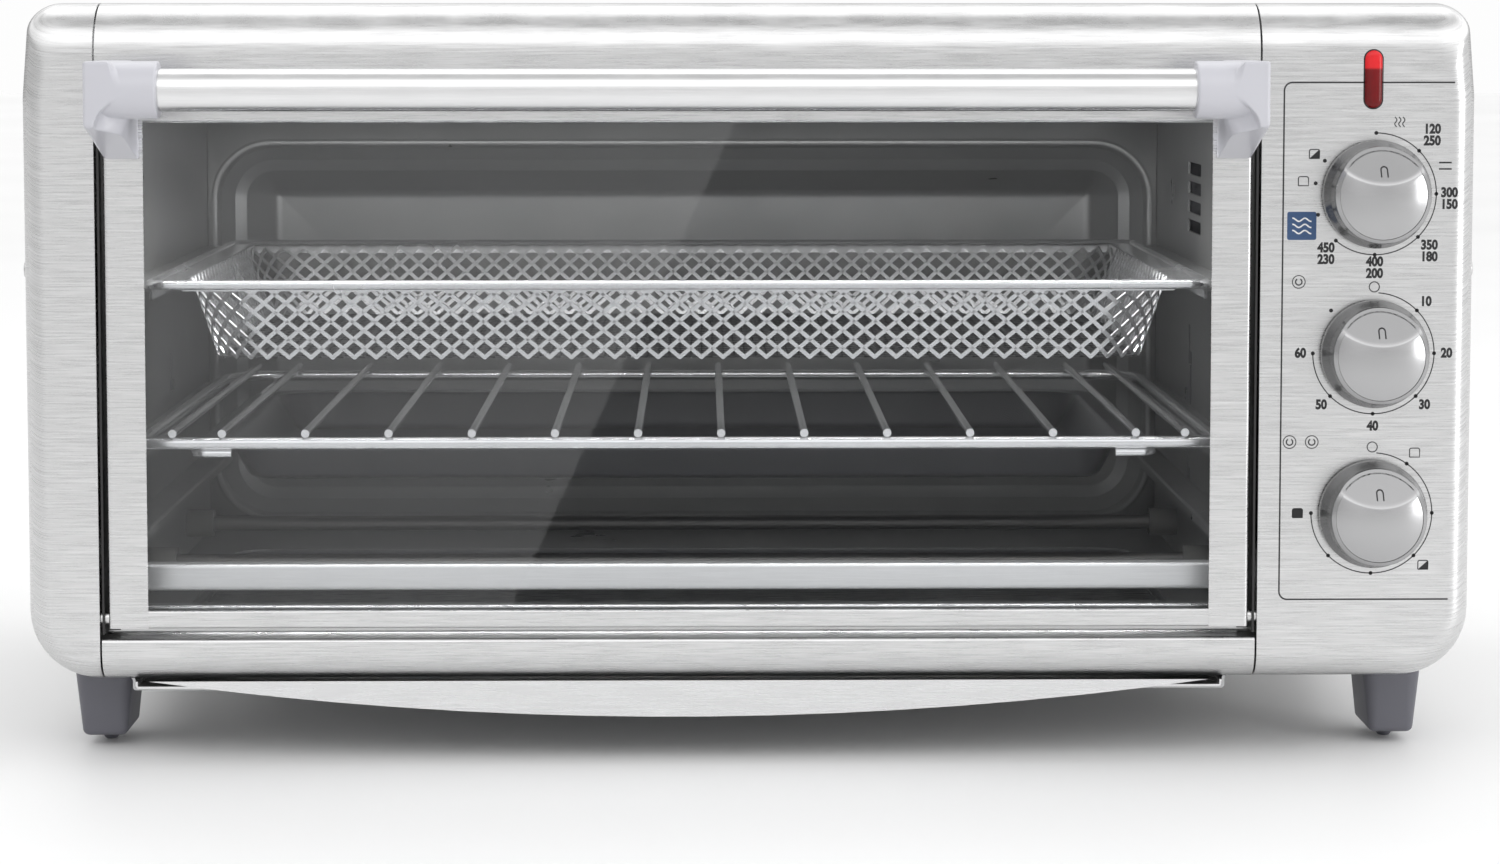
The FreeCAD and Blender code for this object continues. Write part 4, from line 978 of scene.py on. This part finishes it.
dialLook = {
    "ringRadius": 22.9 * mm,
    "line": 0.42 * mm,
    "dot": 0.75 * mm,
    "letters": 4.9 * mm,
    "bold": 0.05,
    "narrow": 0.86,
    "rowStep": 4.41 * mm,
    "rings": (("mode", 0, 220), ("bake", 4, 270), ("toast", 4, 270)),
    "dots": (("mode", (0, 250, 280, 303)), ("bake", (315,)), ("toast", (35, 90, 135, 180, 225, 270))),
    # knob, clock angle, rows of figures, their radius and their lift in millimetres
    "marks": (("mode", 45, "120\n250", 29.8, 3.2), ("mode", 90, "300\n150", 27.8, 0.4),
              ("mode", 135, "350\n180", 29.0, 1.2), ("mode", 180, "400\n200", 26.0, 0.4),
              ("mode", 220, "450\n230", 28.6, 1.6),
              *(("bake", 45 * k, str(10 * k), 27.6, 0) for k in range(1, 7))),
    # knob, clock angle, radius in millimetres and how much of the slice of bread is filled
    "slices": (("toast", 35, 28.0, 0), ("toast", 135, 28.0, 1), ("toast", 270, 28.0, 2),
               ("mode", 280, 27.6, 0), ("mode", 303, 27.6, 1)),
    "zeroOver": 2.2 * mm,
    "zeroRadius": 1.9 * mm,
    "thinLine": 0.4 * mm,
    # clock angle, radius and spacing of each icon's lines, then the fans' knobs and offsets from the top knob
    "steam": (18, 28.4 * mm, 1.5 * mm),
    "bars": (68, 28.2 * mm, 1.2 * mm),
    "fans": (("bake", -28.5 * mm), ("toast", -31.3 * mm), ("toast", -22.9 * mm)),
    "fanOver": 27 * mm,
}
panelFace = span("right_end_panel")[0][1]


def ribbon(u, v, wide):
    # a flat strip of even width along a line: each point moves half the width to both sides
    du, dv = np.gradient(u), np.gradient(v)
    size = np.hypot(du, dv)
    nu, nv = -dv / size * wide / 2, du / size * wide / 2
    left, right = np.stack([u + nu, v + nv], -1), np.stack([u - nu, v - nv], -1)
    points = np.vstack([left, right])
    n = len(u)
    i = np.arange(n - 1)
    return points, np.stack([i, i + 1, i + 1 + n, i + n], -1).tolist()


def disc(u, v, radius, steps=18):
    turn = np.linspace(0, tau, steps, endpoint=False)
    return np.stack([u + radius * np.cos(turn), v + radius * np.sin(turn)], -1), [list(range(steps))]


def arcLine(u, v, radius, start, end, wide, steps=60):
    # clock angles in degrees: 0 is up and they run clockwise
    turn = np.radians(np.linspace(start, end, steps))
    return ribbon(u + radius * np.sin(turn), v + radius * np.cos(turn), wide)


def figures(text, u, v, look):
    # plain figures from the built-in face, narrowed and flattened to a mesh in the panel's plane
    curve = bpy.data.curves.new("figure", "FONT")
    curve.body = text
    curve.size = look["letters"]
    curve.offset = look["letters"] * look["bold"]
    curve.resolution_u = 4        # finer outlines cross themselves when they are offset
    curve.align_x = "CENTER"
    curve.align_y = "CENTER"
    carrier = placed("figure", curve)
    mesh = settledMesh(carrier)
    faces = [list(p.vertices) for p in mesh.polygons]
    bpy.data.objects.remove(carrier)
    return pointsOf(mesh)[:, :2] * (look["narrow"], 1.0) + (u, v), faces


def printInk(name, shapes, material, lift=0.03 * mm):
    # flat shapes (u, v) laid on the panel as a thin closed film
    points, faces, total = [], [], 0
    for p, f in shapes:
        points.append(p)
        faces += [[i + total for i in ring] for ring in f]
        total += len(p)
    flat = np.vstack(points)
    xyz = np.column_stack([flat[:, 0], np.full(len(flat), panelFace - lift), flat[:, 1]])
    mesh = meshOf(name, xyz, faces)
    work = bmesh.new()
    work.from_mesh(mesh)
    bmesh.ops.remove_doubles(work, verts=work.verts, dist=0.0001 * mm)
    work.normal_update()
    bmesh.ops.reverse_faces(work, faces=[f for f in work.faces if f.normal.y > 0])
    work.to_mesh(mesh)
    work.free()
    mesh.materials.append(material)
    piece = placed(name, mesh)
    thicken(piece, 0.03 * mm, -1)
    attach(piece, "housing")


def clockPlace(centre, radius, angle):
    turn = math.radians(angle)
    return centre[0] + radius * math.sin(turn), centre[1] + radius * math.cos(turn)


def waveLine(u, v, half, sway, turns, wide, upright=False, steps=16):
    # a line of half each way from its middle, swaying aside by sway * sin(turns * t)
    t = np.linspace(-1, 1, steps)
    along, aside = t * half, sway * np.sin(turns * t)
    return ribbon(u + (aside if upright else along), v + (along if upright else aside), wide)


def dialPrints(look):
    # rings, dots, figures and icons round the three knobs, as one film
    ring, thin = look["ringRadius"], look["thinLine"]
    knobs = {label: middle(node)[[0, 2]] for label, node in
             (("mode", "selector_knob"), ("bake", "timer_knob"), ("toast", "toast_knob"))}
    black = [arcLine(*knobs[label], ring, start, end, look["line"]) for label, start, end in look["rings"]]
    for label in ("bake", "toast"):
        u, v = knobs[label]
        black.append(arcLine(u, v + ring + look["zeroOver"], look["zeroRadius"], 0, 360, thin))
    for label, angles in look["dots"]:
        black += [disc(*clockPlace(knobs[label], ring, angle), look["dot"]) for angle in angles]
    for label, angle, text, radius, rise in look["marks"]:
        black.append(disc(*clockPlace(knobs[label], ring, angle), look["dot"]))
        u, v = clockPlace(knobs[label], radius * mm, angle)
        for row, line in enumerate(text.split("\n")):
            black.append(figures(line, u, v + rise * mm - row * look["rowStep"], look))
    for label, angle, radius, fill in look["slices"]:
        black += toastIcon(*clockPlace(knobs[label], radius * mm, angle), fill)
    angle, radius, pitch = look["steam"]
    u, v = clockPlace(knobs["mode"], radius, angle)
    black += [waveLine(u + k * pitch, v, 1.9 * mm, 0.4 * mm, 4, thin, upright=True) for k in (-1, 0, 1)]
    angle, radius, pitch = look["bars"]
    u, v = clockPlace(knobs["mode"], radius, angle)
    black += [waveLine(u, v + k * pitch, 2.4 * mm, 0, 0, 0.6 * mm) for k in (-1, 1)]
    for label, aside in look["fans"]:
        u, v = knobs["mode"][0] + aside, knobs[label][1] + look["fanOver"]
        black += [arcLine(u, v, 2.4 * mm, 0, 360, 0.35 * mm), arcLine(u, v, 1.2 * mm, 30, 330, 0.5 * mm, 24)]
    printInk("dial_printing", black, blackInk)


def toastIcon(u, v, fill):
    # a slice of bread: an outline, half filled or filled with the shade
    w, h = 1.9 * mm, 1.7 * mm
    path = roundedProfile([(-w, -h, 0), (w, -h, 0), (w, h, 0.7 * mm), (-w, h, 0.7 * mm), (-w, -h, 0)], 4)
    shapes = [ribbon(u + path[:, 0], v + path[:, 1], 0.4 * mm)]
    if fill == 2:
        shapes.append((path[:-1] + (u, v), [list(range(len(path) - 1))]))
    if fill == 1:
        shapes.append((np.array([(-w, -h), (w, -h), (w, h)]) + (u, v), [[0, 1, 2]]))
    return shapes


outlineLook = {
    "left": 34.7 * mm,
    "bottom": 61.9 * mm,
    "top": 257.3 * mm,
    "corner": 3 * mm,
    "rightGap": 9 * mm,
    "line": 0.6 * mm,
}


def panelOutline(look):
    # hairline frame round the controls, open at the panel's right edge
    right = span("right_end_panel")[1][0] - look["rightGap"]
    left = middle("timer_knob")[0] - look["left"]
    bottom, top, corner = look["bottom"], look["top"], look["corner"]
    path = roundedProfile([(right, top, 0), (left, top, corner), (left, bottom, corner),
                           (right, bottom, 0)], 6)
    printInk("control_outline", [ribbon(path[:, 0], path[:, 1], look["line"])], blackInk)


tabLook = {"place": (-27.6 * mm, -12.0 * mm), "half": (5.5 * mm, 5.3 * mm), "corner": 0.8 * mm,
           "pitch": 2.3 * mm}


def airLabel(look):
    # the air-fry setting's blue tab, with three plain wavy lines for moving air
    u, v = middle("selector_knob")[[0, 2]] + look["place"]
    loop = np.stack(roundedLoop(*look["half"], look["corner"], 5), -1)
    printInk("air_fry_tab", [(loop + (u, v), [list(range(len(loop)))])], blueInk)
    waves = [waveLine(u, v + k * look["pitch"], 3.6 * mm, 0.6 * mm, 5, 0.55 * mm, steps=30)
             for k in (-1, 0, 1)]
    printInk("air_fry_waves", waves, whiteInk, lift=0.07 * mm)


def lensSurround():
    # dark ring of even width round the pill-shaped lens
    _, _, mid, half = span("indicator_lens")
    half = half + 0.25 * mm
    u, v = roundedLoop(half[0], half[2], half[0] * 0.999, 8)
    u, v = np.append(u, u[:2]), np.append(v, v[:2])
    printInk("lens_surround", [ribbon(mid[0] + u, mid[2] + v, 0.5 * mm)], blackInk)


dialPrints(dialLook)
lensSurround()
panelOutline(outlineLook)
airLabel(tabLook)
print("control panel printed")


# dimmed and dimWay set how far and where the floor's painted shade darkens it towards the front
floorLook = {"half": 12, "lines": 9, "paint": (0.86, 0.885), "dimmed": 0.86, "dimWay": (-1.0, -0.4)}


def makeFloor(look):
    # a wide level sheet, sampled as a coarse grid, with painted shade making it a little dimmer towards the
    # front
    side = np.linspace(-look["half"], look["half"], look["lines"])
    x, y = np.meshgrid(side, side, indexing="ij")
    mesh = meshOf("studioFloor", np.stack([x, y, 0 * x], -1), gridFaces(*x.shape))
    material, tree, shader = newMaterial("studioFloorPaint")
    cloud = noise(tree, 1.5, 2.0)
    # painted shade: the floor paint is multiplied down towards the front
    dim = easedStep(tree, coordinate(tree, "Object", "Y"), *look["dimWay"], look["dimmed"])
    paint = ramp(tree, cloud, (0.3, look["paint"][0]), (0.7, look["paint"][1]))
    coat(tree, shader, blend(tree, "MULTIPLY", paint, dim), ramp(tree, cloud, (0.3, 0.42), (0.7, 0.52)))
    mesh.materials.append(material)
    placed("studioFloor", mesh)


cavityMid = middle("cavity_top")[0]
lampLook = {
    # place, target, width and length, and watts
    "topSoftbox": ((0.0, 0.45, 1.5), (0, 0, 0.2), (1.6, 0.9), 4.6),
    "rightStrip": ((1.7, -1.35, 0.35), (0.23, -0.15, 0.15), (0.5, 0.9), 6.5),
    "cavityGlow": ((cavityMid, -0.062, 0.2535), (cavityMid, 0.06, 0.09), (0.42, 0.11), 0.52),
    "doorGlow": ((cavityMid, -0.1425, 0.244), (cavityMid, -0.130, 0.09), (0.42, 0.004), 0.28),
}


def softbox(name, place, target, size, power):
    lamp = bpy.data.lights.new(name, "AREA")
    lamp.shape = "RECTANGLE"
    lamp.size, lamp.size_y = size
    lamp.energy = power
    holder = placed(name, lamp)
    holder.location = place
    holder.rotation_euler = (holder.location - Vector(target)).to_track_quat("Z", "Y").to_euler()


skyLook = {
    "seen": 0.985,
    "byHeight": [(0.40, 0.82), (0.50, 0.99), (0.66, 1.05), (0.75, 2.2), (0.88, 1.9), (0.96, 0.85)],
    "byDepth": [(0.0, 0.98), (0.35, 0.88), (0.65, 0.92), (0.86, 0.58), (1.0, 0.66)],
    "byWidth": [(0.20, 0.70), (0.38, 1.06), (0.60, 0.84), (0.72, 1.0)],
}


def makeSky(look):
    # pale all round: brightest in a ring high up, dimmer behind and overhead, plain white where it is seen
    world = bpy.data.worlds.new("studioSky")
    bpy.context.scene.world = world
    world.use_nodes = True
    tree = world.node_tree
    back = tree.nodes["Background"]
    shades = []
    for axis, stops in (("Z", look["byHeight"]), ("Y", look["byDepth"]), ("X", look["byWidth"])):
        lift = calc(tree, "MULTIPLY_ADD", coordinate(tree, "Generated", axis), 0.5, 0.5)
        shades.append(ramp(tree, lift, *stops))
    lighting = blend(tree, "MULTIPLY", blend(tree, "MULTIPLY", shades[0], shades[1]), shades[2])
    seen = addNode(tree, "ShaderNodeLightPath").outputs["Is Camera Ray"]
    feed(tree, back.inputs["Color"], blend(tree, "MIX", lighting, (look["seen"],) * 3, seen))
    back.inputs["Strength"].default_value = 1.0


cameraLook = {
    "place": (-18.29 * mm, -1473.2 * mm, 280.8 * mm),
    "pitch": 4.245,
    "yaw": 0.78,
    "lens": 84.87,
    "shift": -0.10,
}


def makeCamera(look):
    data = bpy.data.cameras.new("studioCamera")
    data.lens = look["lens"]
    data.sensor_width = 36
    data.shift_y = look["shift"]
    data.clip_start = 0.05
    data.clip_end = 60
    holder = placed("studioCamera", data)
    holder.location = look["place"]
    holder.rotation_euler = (math.radians(90 - look["pitch"]), 0, math.radians(-look["yaw"]))
    bpy.context.scene.camera = holder


makeFloor(floorLook)
makeSky(skyLook)
for name, settings in lampLook.items():
    softbox(name, *settings)
makeCamera(cameraLook)
view = bpy.context.scene.view_settings
view.view_transform = "Standard"
view.look = "None"
view.exposure = 0.0
print("floor, lights and camera set")
